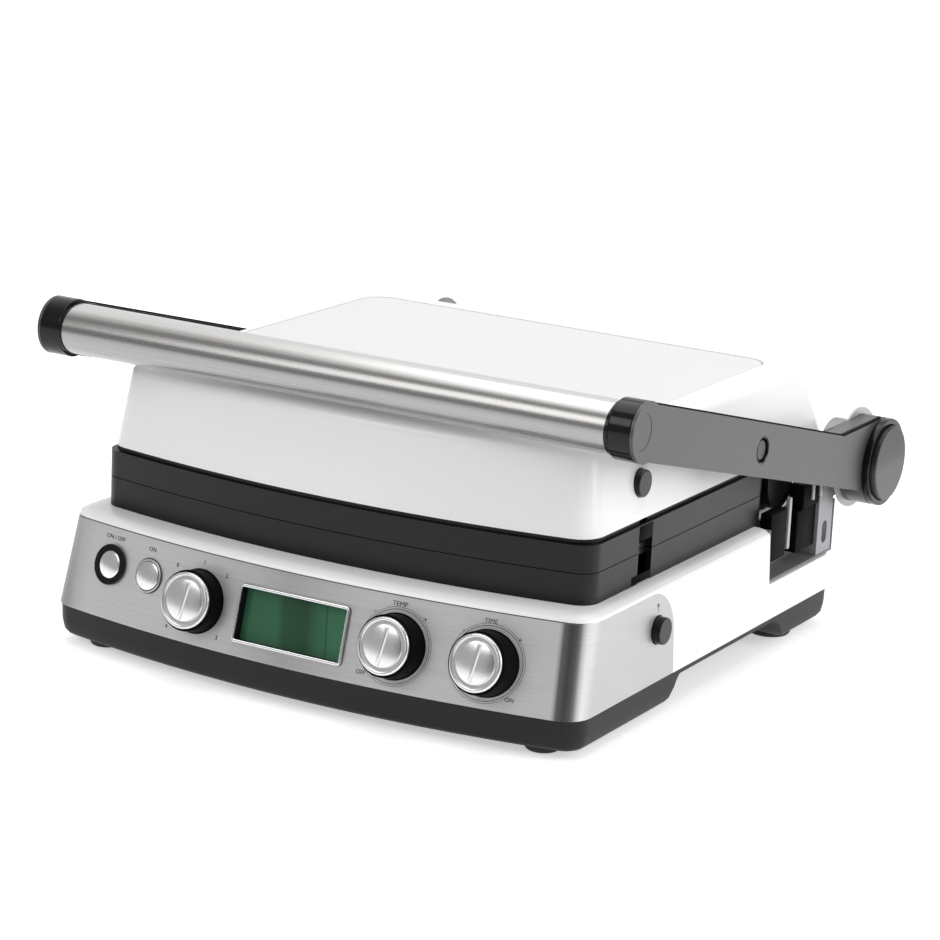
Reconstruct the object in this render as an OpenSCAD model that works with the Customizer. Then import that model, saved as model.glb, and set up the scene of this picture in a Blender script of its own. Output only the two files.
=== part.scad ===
// Electric indoor grill with a hinged, floating lid.
// Millimetres. Z is up, Y runs to the rear, and the origin is on the counter
// below the middle of the whole grill.

/* [Base] */
// Width of the base at the foot of the steel front
base_w = 350; // [346:1:360]
// Depth of the base from the middle of the bowed front to the rear wall
base_d = 349.5; // [345:0.5:360]
// How far the middle of the front bows out past its corners
front_bow = 19; // [14:1:22]
// Radius of the upright corners of the base
base_corner_r = 16; // [12:1:20]
// Height of the steel front
fascia_h = 51; // [49:1:56]
// How far the steel front leans back over its height
fascia_lean = 14; // [10:1:16]
// How far the side and rear walls lean in over that height
wall_lean = 2.5; // [1:0.5:3.5]
// Rise of the sloping rim from the steel front to the deck
rim_rise = 4; // [3:0.5:6]
// Width of that sloping rim
rim_w = 7; // [5:0.5:9]
// Wall of the moulded housings
wall = 2.4; // [2:0.1:3]
// Thickness of the steel front
fascia_t = 1.2; // [0.8:0.1:1.4]
// How far the steel front reaches back along each side
wing_len = 110; // [105:1:125]
// Radius of the upper rear corner of each steel side
wing_r = 25; // [10:1:35]

/* [Underbody] */
// Height of the dark underbody
tray_h = 19.7; // [19.3:0.1:24]
// How far the flat bottom sets in from the foot of the walls
tray_setback = 8; // [5:0.5:9]
// Height of the arch under each side
arch_h = 16.4; // [6:0.2:16.8]
// Height of the feet
foot_h = 4; // [3:0.5:8]
// Radius of the front feet
front_foot_r = 10; // [7:0.5:14]
// Radius of the rear feet
foot_r = 13; // [9:0.5:15]
// Width of the drip tray
drip_w = 124; // [90:2:150]
// Length of the drip tray
drip_d = 140; // [100:5:160]
// Height of the drip tray
drip_h = 21; // [14:1:24]
// Radius of the hole for the mains cord in its gland
cord_hole_r = 3.6; // [3:0.1:4.5]

/* [Plates] */
// Distance from the foot of the base's sides in to both cooking plates
plate_side = 13.5; // [12:0.5:17]
// Depth of both cooking plates from their front corners
plate_d = 219; // [200:1:225]
// How far the front edge of the plates bows out
plate_bow = 17; // [12:1:20]
// Distance from the top of the steel front back to the plates
plate_setback = 17; // [15:0.5:20]
// Radius of the corners of the plates
plate_corner_r = 12; // [9:1:16]
// Height of the rim of the lower plate
lower_rim_h = 17.5; // [16:0.5:22]
// Height of the rim of the upper plate
upper_rim_h = 15.5; // [14:0.5:20]
// Gap between the two rims when the lid is closed
plate_gap = 0.5; // [0.4:0.1:1.5]
// Thickness of the cast walls of the plates
cast_t = 3; // [2.5:0.1:3.5]
// Depth of the cooking recess in each plate
recess_d = 8; // [6:0.5:9]
// Height of the grill ribs
rib_h = 5.8; // [3:0.2:6]
// Distance from one rib to the next
rib_pitch = 12; // [9:0.5:18]
// Diameter of the tubes of the heating elements
heater_dia = 6.4; // [5:0.2:6.6]

/* [Lid] */
// Height of the white lid
lid_h = 51.4; // [49:0.5:56]
// Height of the black gap between the plates and the lid
shadow_gap = 2.6; // [2:0.2:4]
// How far the foot of the lid sets in from the plates
lid_setback = 1.75; // [1:0.25:3]
// Depth of the lid from its front corners
lid_d = 306; // [300:1:308]
// How far the front and side walls of the lid lean in
lid_taper = 5.5; // [3:0.5:8]
// How far the rear wall of the lid leans in
lid_rear_lean = 19; // [15:1:24]
// Height of the rolled edge of the roof
roof_roll = 9.4; // [6:0.2:12]
// Distance from the foot of the lid in to the inset roof panel
panel_inset = 18.5; // [14:0.5:24]
// The same distance at the rear
panel_rear_inset = 50; // [40:1:60]
// Radius of the lid's upright corners
lid_corner_r = 15; // [10:1:18]

/* [Hinge and arms] */
// Distance of the hinge axis behind the rear wall
hub_back = 10.5; // [9:0.5:14]
// Height of the hinge axis above the deck
hub_rise = 24; // [24:0.5:28]
// Radius of the hub at the rear end of each arm
hub_r = 27; // [26:0.5:28]
// Radius of the dark flange inside each hub
flange_r = 31; // [29:0.5:32]
// Radius of the cap in each hub
hub_cap_r = 23; // [18:0.5:23.5]
// Radius of the hinge pins
hinge_pin_r = 7; // [5:0.5:9]
// Gap from the foot of the base to the inner face of each arm
arm_gap = 3; // [2:0.5:6]
// Width of each arm
arm_w = 15.5; // [14:0.5:18]
// Height of each arm
arm_h = 31; // [28:0.5:32]
// Distance from the hinge axis forward to the middle of the handle
arm_reach = 317.7; // [312:0.5:322]
// Height of the middle of the handle above the hinge axis
arm_rise = 79.75; // [76:0.25:88]
// How far the middle line of the arm passes below the hinge axis
arm_drop = 4.4; // [2:0.2:6]
// Distance from the hinge axis forward to the pivot of the lid
pivot_reach = 172; // [160:1:185]
// Radius of the lid's pivot screws
pivot_r = 4; // [3:0.5:5]

/* [Handle] */
// Depth of the oval handle tube, front to rear
handle_d = 34; // [28:1:34]
// Height of the oval handle tube
handle_h = 29.2; // [24:0.2:31]
// Wall of the handle tube
handle_wall = 1.2; // [0.8:0.1:2]
// Radius of the black end caps of the handle
handle_end_r = 16.9; // [16.5:0.1:17.5]

/* [Controls] */
// Radius of the black skirt of the knobs
knob_r = 18; // [14:0.5:19]
// Radius of the chrome cap of the knobs
knob_cap_r = 16; // [12:0.5:17]
// How far the knobs stand out of the front
knob_len = 13.3; // [10:0.1:18]
// Radius of the knob shafts
shaft_r = 3; // [2.5:0.1:3.5]
// Height of the knobs above the foot of the steel front
knob_z = 23.8; // [23:0.1:26]
// Place of the function knob to the side of the middle
function_x = -66; // [-68:1:-62]
// Place of the temperature knob to the side of the middle
temperature_x = 64.8; // [60:0.1:70]
// Place of the timer knob to the side of the middle
timer_x = 119; // [115:0.5:130]
// Place of the power key to the side of the middle
power_x = -133.5; // [-138:0.5:-130]
// Place of the mode key to the side of the middle
mode_x = -103.6; // [-106:0.2:-100]
// Height of both keys above the foot of the steel front
key_z = 30; // [27:0.5:34]
// Radius of the power key
power_r = 8; // [6:0.5:9]
// Radius of the mode key
mode_r = 8.3; // [6:0.1:9]
// Travel of the two keys
key_travel = 1.2; // [0.5:0.1:1.5]
// Width of the display frame
lcd_w = 72.5; // [60:0.5:76]
// Height of the display frame
lcd_h = 33; // [26:0.5:36]
// Place of the display to the side of the middle
lcd_x = -1.2; // [-4:0.2:2]
// Width of the bright edge round the display
lcd_edge = 1.6; // [1.4:0.1:3]
// How far the display lies behind the steel front
lcd_sink = 5.5; // [2:0.5:7]

/* [Release buttons] */
// Distance of both plate buttons behind the front corners of the plates
release_y = 60; // [56:0.5:66]
// Height of the lower plate button above the foot of the steel front
lower_release_z = 29.8; // [27:0.2:31]
// Height of the upper plate button above the foot of the lid
upper_release_z = 20.1; // [18:0.1:23]
// Radius of the plate buttons
release_r = 7.8; // [6:0.2:8.6]
// How far the plate buttons stand out
release_out = 5; // [3.5:0.5:7]
// Travel of the plate buttons
release_travel = 3; // [2:0.2:3]
// Travel of the hinge button in the right hub
hinge_travel = 3; // [1:0.5:3.5]

/* [Fits] */
// Gap between pieces that move past each other
move_gap = 0.4; // [0.3:0.05:0.6]
// Radial clearance of a shaft that turns in its bore
run_gap = 0.06; // [0.03:0.01:0.1]
// Radial clearance between pieces that stay still
fit_gap = 0.05; // [0.02:0.01:0.1]

/* [Hidden] */
$fn = 48;
eps = 0.01;
over = 1;

// Heights of the stack, from the counter up
z_tray = foot_h;
z_base = z_tray + tray_h;
z_front_top = z_base + fascia_h;
z_deck = z_front_top + rim_rise;
z_lower_rim = z_deck + lower_rim_h;
z_upper_rim = z_lower_rim + plate_gap;
z_frame = z_upper_rim + upper_rim_h;
z_lid = z_frame + shadow_gap;
z_roof = z_lid + lid_h;

// Places from front to rear; the knobs stand in front of the bowed steel front
lean_a = atan(fascia_lean / fascia_h);
knob_front = max([for (x = [function_x, temperature_x, timer_x]) knob_ahead(x)]);
overall_d = knob_front + base_d + hub_back + flange_r;
y_tip = knob_front - overall_d / 2;
y_chord = y_tip + front_bow;
y_rear = y_tip + base_d;
hub_y = y_rear + hub_back;
hub_z = z_deck + hub_rise;
plate_y = y_chord + fascia_lean + plate_setback;
plate_rear = plate_y + plate_d;
lid_y = plate_y + lid_setback;
lid_rear = lid_y + lid_d;
plate_hw = base_w / 2 - plate_side;
lid_hw = plate_hw - lid_setback;

// Arms
arm_in = base_w / 2 + arm_gap;
arm_out = arm_in + arm_w;
handle_y = hub_y - arm_reach;
handle_z = hub_z + arm_rise;
arm_slope = atan((arm_rise + arm_drop) / arm_reach);
arm_len = sqrt(pow(arm_reach, 2) + pow(arm_rise + arm_drop, 2));
pivot_y = hub_y - pivot_reach;
pivot_z = hub_z - arm_drop + pivot_reach * tan(arm_slope);
arm_skin = 2;
liner_t = 2;
handle_cap_len = 20;
shoulder_len = 60;
plug_len = 18;
cover_r = 10.2;
cover_t = 1.2;
cover_ahead = 6;
pivot_recess_r = 8;
pivot_recess_d = 3;
pivot_boss_r = 11;
pivot_screw_in = 24;

// Hinge hardware
flange_t = 1.7;
bracket_w = 11;
bracket_r = hub_rise - 2;
bracket_out = arm_in - flange_t - move_gap;
bracket_in = bracket_out - bracket_w - 4;
bracket_post_d = 20.5;
hub_pocket_d = 6;
hub_ring_out = 4.5;
hub_cap_out = 7.5;
hub_cap_t = 5;
stem_r = 6;
well_d = 93;
well_w = 19;
well_h = 33.5;
liner_wall = 1.6;
rear_strip = 3;
well_in = base_w / 2 - well_w;
well_z = z_deck - well_h;
well_rear = y_rear - rear_strip;
well_front = well_rear - well_d;

// Plates: the rim is a skirt, and the cooking recess lies inside it
land_w = 15;
pan_wall = 2.5;
notch_w = 16;
upper_notch_top = 6;

// Latches: a lever turns on a pin, the button's stem pushes its foot in,
// and its hook swings out from behind a tab under the pan of the plate
latch_y = plate_y + release_y + 2;
hook_x = plate_hw - 8.5;
latch_x = hook_x - 3;
latch_w = 8;
latch_t = 3;
latch_pin_r = 1.5;
latch_boss_r = 3.4;
latch_arm = 14;
latch_foot = 2;
latch_toe = 2.5;
latch_toe_t = 2.6;
latch_tab_t = 2.5;
latch_gap = 0.8;
stem_r_small = 2.2;
stem_gap = 0.8;
heater_runs = 4;
heater_end = 25.5;
heater_pitch = (plate_d - 2 * heater_end) / (heater_runs - 1);
heater_in = 62;
reflector_t = 0.8;
reflector_h = 5;

// Controls
board_t = 1.6;
board_w = 286;
board_h = 36;
bushing_r = 4.2;
bushing_out = 2;
encoder_s = 13;
key_out = 2.5;
knob_cap_t = 2.1;
skirt_sink = 3.2;
encoder_gap = 0.8;

// ---- shapes that repeat ----

function arc(cx, cy, r, a0, a1, n) =
    [for (i = [0:n]) let (a = a0 + (a1 - a0) * i / n) [cx + r * cos(a), cy + r * sin(a)]];

// Radius of the bow over a half width
function bow_r(hw, bow) = (hw * hw + bow * bow) / (2 * bow);

// Plan outline with a bowed front and four round corners, anticlockwise
function outline(hw, yf, yr, bow, rf, rr) =
    let (
        br = bow_r(hw, bow),
        yc = yf - bow + br,
        cx = hw - rf,
        cy = yc - sqrt(pow(br - rf, 2) - cx * cx),
        b = asin(cx / (br - rf)),
        n = 16
    )
    concat(
        arc(hw - rr, yr - rr, rr, 0, 90, 5),
        arc(rr - hw, yr - rr, rr, 90, 180, 5),
        arc(-cx, cy, rf, 180, 270 - b, 5),
        [for (i = [1:n - 1]) let (a = -90 - b + 2 * b * i / n) [br * cos(a), yc + br * sin(a)]],
        arc(cx, cy, rf, 270 + b, 360, 5)
    );

function base_half(z) = base_w / 2 - wall_lean * (z - z_base) / fascia_h;

// Outline of the leaning base at height z, set in by some distance
function base_ring(z, inset = 0) =
    let (k = (z - z_base) / fascia_h, r = max(base_corner_r - inset, 1.5))
    outline(base_half(z) - inset, y_chord + fascia_lean * k + inset,
        y_rear - wall_lean * k - inset, front_bow, r, r);

function plate_ring(inset = 0) =
    let (r = max(plate_corner_r - inset, 1.5))
    outline(plate_hw - inset, plate_y + inset, plate_rear - inset, plate_bow, r, r);

// Outline of the lid set in at its sides and front, and at its rear
function lid_ring(side, rear, t = 0) =
    let (r = max(lid_corner_r - t, 1.5))
    outline(lid_hw - side - t, lid_y + side + t, lid_rear - rear - t, plate_bow, r, r);

function oval(d, h, n = 48) = [for (i = [0:n - 1]) [d / 2 * cos(360 * i / n), h / 2 * sin(360 * i / n)]];

// How far the bowed, leaning face lies behind the tip of the bow, at height h
// above the foot of the front
function face_back(x, h) =
    let (hw = base_half(z_base + h), br = bow_r(hw, front_bow))
    fascia_lean * h / fascia_h + br - sqrt(br * br - x * x);

function face_y(x, h) = y_tip + face_back(x, h);

function face_turn(x, h) = asin(x / bow_r(base_half(z_base + h), front_bow));

// How far the cap of a knob at x stands in front of the tip of the bow
function knob_ahead(x) = knob_len * cos(lean_a) + knob_cap_r * sin(lean_a) - face_back(x, knob_z);

// Solid through a stack of outlines, each [height, points]
module loft(rings) {
    n = len(rings[0][1]);
    m = len(rings);
    points = [for (r = rings) for (p = r[1]) [p[0], p[1], r[0]]];
    sides = [
        for (k = [0:m - 2]) for (i = [0:n - 1])
            let (j = (i + 1) % n, a = k * n + i, b = k * n + j, c = b + n, d = a + n)
            each [[a, d, c], [a, c, b]]
    ];
    caps = [[for (i = [0:n - 1]) i], [for (i = [n - 1:-1:0]) (m - 1) * n + i]];
    polyhedron(points = points, faces = concat(sides, caps));
}

// A flat shape drawn in Y and Z, carried along X
module along_x(x0, x1) {
    translate([x0, 0, 0]) rotate([90, 0, 90]) linear_extrude(x1 - x0) children();
}

// A flat shape drawn in X and Z, carried along Y
module along_y(y0, y1) {
    translate([0, y1, 0]) rotate([90, 0, 0]) linear_extrude(y1 - y0) children();
}

module rod_x(y, z, r, x0, x1) {
    translate([x0, y, z]) rotate([0, 90, 0]) cylinder(r = r, h = x1 - x0);
}

module block(lo, hi) {
    translate(lo) cube([hi[0] - lo[0], hi[1] - lo[1], hi[2] - lo[2]]);
}

module both_sides() {
    children();
    mirror([1, 0, 0]) children();
}

// Puts a piece on the steel front, with its own Z pointing straight out of it
module on_face(x, h) {
    translate([x, face_y(x, h), z_base + h])
        rotate([0, 0, face_turn(x, h)])
            rotate([90 - lean_a, 0, 0]) children();
}

// Puts a piece of a knob in place. The three shafts stand square to one flat
// board, so they don't follow the bow of the front.
module on_knob(x) {
    translate([x, face_y(x, knob_z), z_base + knob_z]) rotate([90 - lean_a, 0, 0]) children();
}

module ring_disc(r_out, r_in, h) {
    difference() {
        cylinder(r = r_out, h = h);
        translate([0, 0, -over]) cylinder(r = r_in, h = h + 2 * over);
    }
}

// ---- base ----

// Side view of the steel front: it ends in a round corner on each side
module wing_profile(grow) {
    y1 = y_chord + wing_len + grow;
    y0 = y_tip - 5;
    z1 = z_front_top + grow;
    r = wing_r + grow;
    difference() {
        translate([y0, z_base - 5]) square([y1 - y0, z1 - z_base + 5]);
        difference() {
            translate([y1 - r, z1 - r]) square([r + over, r + over]);
            translate([y1 - r, z1 - r]) circle(r = r);
        }
    }
}

// Everything outside the base's face less t, where the steel front lies
module fascia_zone(t, grow) {
    difference() {
        along_x(-base_w, base_w) wing_profile(grow);
        loft([[z_base - 6, base_ring(z_base - 6, t)], [z_front_top + 6, base_ring(z_front_top + 6, t)]]);
    }
}

module base_body() {
    z1 = z_front_top;
    difference() {
        loft([
            [z_base, base_ring(z_base)],
            [z1, base_ring(z1)],
            [z1 + rim_rise * 0.45, base_ring(z1, rim_w * 0.12)],
            [z1 + rim_rise * 0.8, base_ring(z1, rim_w * 0.45)],
            [z_deck, base_ring(z1, rim_w)]
        ]);
        loft([
            [z_base - over, base_ring(z_base - over, wall)],
            [z1 - wall, base_ring(z1 - wall, wall)],
            [z_deck - wall, base_ring(z1, rim_w + wall / 2)]
        ]);
    }
}

module well_cuts() {
    both_sides() block([well_in, well_front, well_z], [base_w, well_rear, z_deck + over]);
}

// Seen from behind: the opening for the drip tray
module drip_opening() {
    block([-drip_w / 2, y_rear - drip_d, z_tray + wall], [drip_w / 2, y_rear + over, z_tray + wall + drip_h]);
}

module base_shell() {
    color("white") difference() {
        base_body();
        fascia_zone(fascia_t + fit_gap, fit_gap);
        // room behind the steel front for the controls
        block([-power_r * 2 + power_x, y_tip - over, z_base + knob_z - knob_r - 1.5],
            [timer_x + knob_r + 1.5, y_chord + 45, z_base + knob_z + knob_r + 2]);
        // opening under the lower plate
        translate([0, 0, z_deck - 3 * wall]) linear_extrude(4 * wall) polygon(plate_ring(cast_t + 2));
        well_cuts();
        drip_opening();
        // room for the hook of the lower latch
        block([latch_x - 4, latch_y - latch_w / 2 - move_gap, z_deck - 3 * wall],
            [hook_x + 6.5, latch_y + latch_w / 2 + move_gap, z_deck + over]);
        // chute for grease behind the lower plate
        block([-14, plate_rear + 1, z_deck - 3 * wall], [14, plate_rear + 13, z_deck + over]);
        rod_x(plate_y + release_y, z_base + lower_release_z, release_r + move_gap, latch_x, base_w);
        translate([cord_x, y_rear + over, cord_z]) rotate([90, 0, 0]) cylinder(r = gland_r + fit_gap, h = 12);
    }
}

cord_x = -112;
cord_z = z_base + 15;
gland_r = 8;
gland_len = 14;

module cord_gland() {
    color([0.1, 0.1, 0.1]) difference() {
        translate([cord_x, y_rear + 6, cord_z]) rotate([90, 0, 0]) union() {
            cylinder(r = gland_r, h = gland_len);
            cylinder(r = gland_r + 2, h = 5);
        }
        translate([cord_x, y_rear + 6 + over, cord_z]) rotate([90, 0, 0])
            cylinder(r = cord_hole_r, h = gland_len + 2 * over);
    }
}

// Side view of the arch under each side, from its front end to its rear end
arch_y0 = y_chord + 107;
arch_y1 = y_rear - 60.5;
arch_front_ramp = 15;
arch_rear_ramp = 26;

arch_steps = 8;

module arch_profile(grow) {
    h = arch_h + grow;
    polygon(concat(
        [[arch_y0 - grow, z_tray - over]],
        [for (i = [0:arch_steps])
            [arch_y0 - grow + arch_front_ramp * i / arch_steps, z_tray + h * (1 - cos(180 * i / arch_steps)) / 2]],
        [for (i = [arch_steps:-1:0])
            [arch_y1 + grow - arch_rear_ramp * i / arch_steps, z_tray + h * (1 - cos(180 * i / arch_steps)) / 2]],
        [[arch_y1 + grow, z_tray - over]]
    ));
}

module arches(grow) {
    x0 = base_w / 2 - 34 - grow;
    both_sides() along_x(x0, base_w) arch_profile(grow);
}

module bottom_body(t) {
    z0 = z_tray + t;
    loft([
        [z0, base_ring(z_base, tray_setback + t)],
        [z_tray + tray_h * 0.08 + t * 0.7, base_ring(z_base, tray_setback * 0.55 + t)],
        [z_tray + tray_h * 0.2 + t * 0.4, base_ring(z_base, tray_setback * 0.3 + t)],
        [z_tray + tray_h * 0.5, base_ring(z_base, tray_setback * 0.14 + t)],
        [z_base + (t > 0 ? over : 0), base_ring(z_base, 0.8 + t)]
    ]);
}

screw_spots = [[-120, -110], [120, -110], [-110, 115], [110, 115], [-95, 20], [95, 20]];

module at_screws() {
    for (s = screw_spots) translate([s[0], s[1], z_tray]) children();
}

module bottom_tray() {
    color([0.18, 0.18, 0.18]) difference() {
        union() {
            difference() {
                bottom_body(0);
                difference() {
                    bottom_body(wall);
                    arches(wall);
                }
            }
            at_screws() cylinder(r = 5, h = tray_h - 2);
        }
        arches(0);
        drip_opening();
        translate([0, 0, -eps]) at_screws() {
            cylinder(r = 2 + fit_gap, h = tray_h);
            cylinder(r = 3.7, h = 1.8);
        }
        at_feet() translate([0, 0, z_tray - over]) cylinder(r = foot_peg_r + fit_gap, h = wall + 2 * over);
    }
}

module base_screws() {
    color("silver") at_screws() {
        cylinder(r = 3.5, h = 1.6);
        cylinder(r = 2, h = tray_h - 4);
    }
}

foot_peg_r = 3.5;
foot_round = 1.2;
front_foot_x = base_w / 2 - 29;
front_foot_y = y_tip + 34;
rear_foot_x = base_w / 2 - tray_setback - foot_r;
rear_foot_y = arch_y1 + foot_r;

module at_feet() {
    for (s = [-1, 1]) {
        translate([s * front_foot_x, front_foot_y, 0]) children();
        translate([s * rear_foot_x, rear_foot_y, 0]) children();
    }
}

module foot_pad(r) {
    cylinder(r1 = r - foot_round, r2 = r, h = foot_round);
    translate([0, 0, foot_round]) cylinder(r = r, h = foot_h - foot_round);
    cylinder(r = foot_peg_r, h = foot_h + wall);
}

module feet() {
    color([0.08, 0.08, 0.08]) for (s = [-1, 1]) {
        translate([s * front_foot_x, front_foot_y, 0]) foot_pad(front_foot_r);
        translate([s * rear_foot_x, rear_foot_y, 0]) foot_pad(foot_r);
    }
}

module drip_tray() {
    hw = drip_w / 2 - move_gap;
    z0 = z_tray + wall + move_gap;
    z1 = z_tray + wall + drip_h - move_gap;
    t = 2;
    y0 = y_rear - drip_d + 4;
    color([0.12, 0.12, 0.12]) difference() {
        block([-hw, y0, z0], [hw, y_rear + 3, z1]);
        block([t - hw, y0 + t, z0 + t], [hw - t, y_rear - t, z1 + over]);
        // scoop for a fingertip under the front lip
        block([-22, y_rear + 0.6, z0 - over], [22, y_rear + 3 + over, z0 + 7]);
    }
}

// ---- steel front and controls ----

module control_fascia() {
    color([0.75, 0.75, 0.76]) difference() {
        intersection() {
            loft([[z_base, base_ring(z_base)], [z_front_top, base_ring(z_front_top)]]);
            fascia_zone(fascia_t, 0);
        }
        // the skirts of the knobs pass through round holes
        for (x = [function_x, temperature_x, timer_x])
            on_knob(x) translate([0, 0, -10]) cylinder(r = knob_r + move_gap, h = 20);
        on_face(power_x, key_z) translate([0, 0, -6]) cylinder(r = power_r + 1 + fit_gap, h = 12);
        on_face(mode_x, key_z) translate([0, 0, -6]) cylinder(r = mode_r + 0.9 + fit_gap, h = 12);
        on_face(lcd_x, knob_z) translate([lcd_rim - fit_gap - lcd_w / 2, lcd_rim - fit_gap - lcd_h / 2, -6])
            cube([lcd_w - 2 * lcd_rim + 2 * fit_gap, lcd_h - 2 * lcd_rim + 2 * fit_gap, 12]);
        rod_x(plate_y + release_y, z_base + lower_release_z, release_r + move_gap, latch_x, base_w);
    }
}

lcd_proud = 1;
lcd_window_t = 1.8;
lcd_depth = lcd_sink + lcd_window_t + 0.3;
lcd_rim = 0.7;

module lcd_bezel() {
    w = lcd_w - 2 * lcd_rim;
    h = lcd_h - 2 * lcd_rim;
    color([0.85, 0.85, 0.87]) on_face(lcd_x, knob_z) difference() {
        union() {
            translate([-lcd_w / 2, -lcd_h / 2, fit_gap]) cube([lcd_w, lcd_h, lcd_proud - fit_gap]);
            translate([-w / 2, -h / 2, -lcd_depth]) cube([w, h, lcd_depth + lcd_proud - eps]);
        }
        translate([lcd_edge - lcd_w / 2, lcd_edge - lcd_h / 2, -lcd_depth - over])
            cube([lcd_w - 2 * lcd_edge, lcd_h - 2 * lcd_edge, lcd_depth + lcd_proud + 2 * over]);
    }
}

module lcd_window() {
    w = lcd_w - 2 * lcd_edge - 2 * fit_gap;
    h = lcd_h - 2 * lcd_edge - 2 * fit_gap;
    color([0.3, 0.6, 0.45, 0.6]) on_face(lcd_x, knob_z)
        translate([-w / 2, -h / 2, -lcd_sink - lcd_window_t]) cube([w, h, lcd_window_t]);
}

module lcd_module() {
    w = lcd_w - 2 * lcd_edge;
    h = lcd_h - 2 * lcd_edge;
    color([0.26, 0.45, 0.35]) on_face(lcd_x, knob_z) union() {
        translate([-w / 2, -h / 2, -lcd_depth - 4.2]) cube([w, h, 4]);
        for (x = [-w / 2 + 4, w / 2 - 4]) for (y = [-h / 2 + 4, h / 2 - 4])
            translate([x, y, -board_depth(lcd_x) + 0.3]) cylinder(r = 2, h = board_depth(lcd_x) - lcd_depth - 4);
    }
}

// The board stands behind the face: its distance from the face at x
board_back = 29;
function board_depth(x) = (y_tip + fascia_lean * knob_z / fascia_h + board_back - face_y(x, knob_z)) * cos(lean_a);

module control_board() {
    color([0.1, 0.35, 0.2])
        translate([0, y_tip + fascia_lean * knob_z / fascia_h + board_back, z_base + knob_z])
            rotate([90 - lean_a, 0, 0]) translate([-board_w / 2, -board_h / 2, -board_t])
                cube([board_w, board_h, board_t]);
}

encoder_front = skirt_sink + encoder_gap;

module encoder(x) {
    reach = board_depth(x) - encoder_front - 0.05;
    on_knob(x) difference() {
        union() {
            translate([-encoder_s / 2, -encoder_s / 2, -encoder_front - reach]) cube([encoder_s, encoder_s, reach]);
            translate([0, 0, -encoder_front - eps]) cylinder(r = bushing_r, h = encoder_front + bushing_out + eps);
        }
        translate([0, 0, -encoder_front - 5]) cylinder(r = shaft_r + run_gap, h = encoder_front + bushing_out + 6);
    }
}

module encoder_bodies() {
    color("silver") for (x = [function_x, temperature_x, timer_x]) encoder(x);
}

// A knob in three pieces: the black skirt, the chrome cap and the shaft
skirt_top = knob_len - knob_cap_t;
shaft_end = skirt_top - 3;
groove_out = 2;
groove_w = 2.4;
groove_h = 0.9;
pointer_a = 83;
pointer_w = 3.2;

module knob_skirt(x) {
    color([0.08, 0.08, 0.08]) on_knob(x) difference() {
        translate([0, 0, -skirt_sink]) cylinder(r1 = knob_r, r2 = knob_r - 0.7, h = skirt_top + skirt_sink);
        translate([0, 0, -skirt_sink - over]) cylinder(r = bushing_r + 2, h = skirt_sink + bushing_out + over + 1);
        cylinder(r = shaft_r + fit_gap, h = shaft_end + 0.4);
    }
}

module knob_cap(x) {
    floor_r = knob_cap_r - groove_out - groove_w;
    color([0.88, 0.88, 0.9]) on_knob(x) translate([0, 0, skirt_top]) union() {
        difference() {
            cylinder(r = knob_cap_r, h = knob_cap_t);
            translate([0, 0, knob_cap_t - groove_h]) ring_disc(knob_cap_r - groove_out, floor_r, groove_h + over);
        }
        // raised pointer that stands nearly upright
        rotate([0, 0, pointer_a]) translate([-floor_r, -pointer_w / 2, knob_cap_t - eps])
            cube([2 * floor_r, pointer_w, 1]);
    }
}

module knob_shaft(x) {
    back = encoder_front + 4.6;
    color("silver") on_knob(x) translate([0, 0, -back]) cylinder(r = shaft_r, h = back + shaft_end);
}

module function_skirt() {
    knob_skirt(function_x);
}

module function_cap() {
    knob_cap(function_x);
}

module function_shaft() {
    knob_shaft(function_x);
}

module temperature_skirt() {
    knob_skirt(temperature_x);
}

module temperature_cap() {
    knob_cap(temperature_x);
}

module temperature_shaft() {
    knob_shaft(temperature_x);
}

module timer_skirt() {
    knob_skirt(timer_x);
}

module timer_cap() {
    knob_cap(timer_x);
}

module timer_shaft() {
    knob_shaft(timer_x);
}

module key_ring(x, r, w, out) {
    on_face(x, key_z) union() {
        translate([0, 0, 0.5]) ring_disc(r + w, r + move_gap, out - 0.5);
        translate([0, 0, -fascia_t - 1]) ring_disc(r + 0.85, r + move_gap, fascia_t + 2);
    }
}

module power_key_ring() {
    color([0.08, 0.08, 0.08]) key_ring(power_x, power_r, 3.8, 1.8);
}

module mode_key_ring() {
    color([0.15, 0.15, 0.15]) key_ring(mode_x, mode_r, 1.3, 1.4);
}

// A domed key: a straight body with a shallow round top
module key_cap(r, out) {
    dome = 1;
    ball = (r * r + dome * dome) / (2 * dome);
    translate([0, 0, -4]) intersection() {
        cylinder(r = r, h = out + 4);
        translate([0, 0, out + 4 - ball]) sphere(r = ball);
    }
}

module power_key() {
    color([0.9, 0.9, 0.9]) on_face(power_x, key_z) key_cap(power_r, key_out);
}

module mode_key() {
    color([0.85, 0.85, 0.87]) on_face(mode_x, key_z) key_cap(mode_r, key_out);
}

switch_s = 8;

module key_switches() {
    gap = 4 + key_travel + move_gap;
    color([0.2, 0.2, 0.2]) for (x = [power_x, mode_x]) {
        back = board_depth(x) - 1.2;
        on_face(x, key_z) translate([-switch_s / 2, -switch_s / 2, -back]) cube([switch_s, switch_s, back - gap]);
    }
}

power_w = 70;
power_d = 80;
power_stand = 6;
power_post_in = 5;
power_side = 50;
power_front = 102;
choke_w = 28;
choke_d = 24;
choke_h = 20;
relay_w = 20;
relay_d = 12;
relay_h = 15;
can_r = 6;
can_h = 16;

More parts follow.
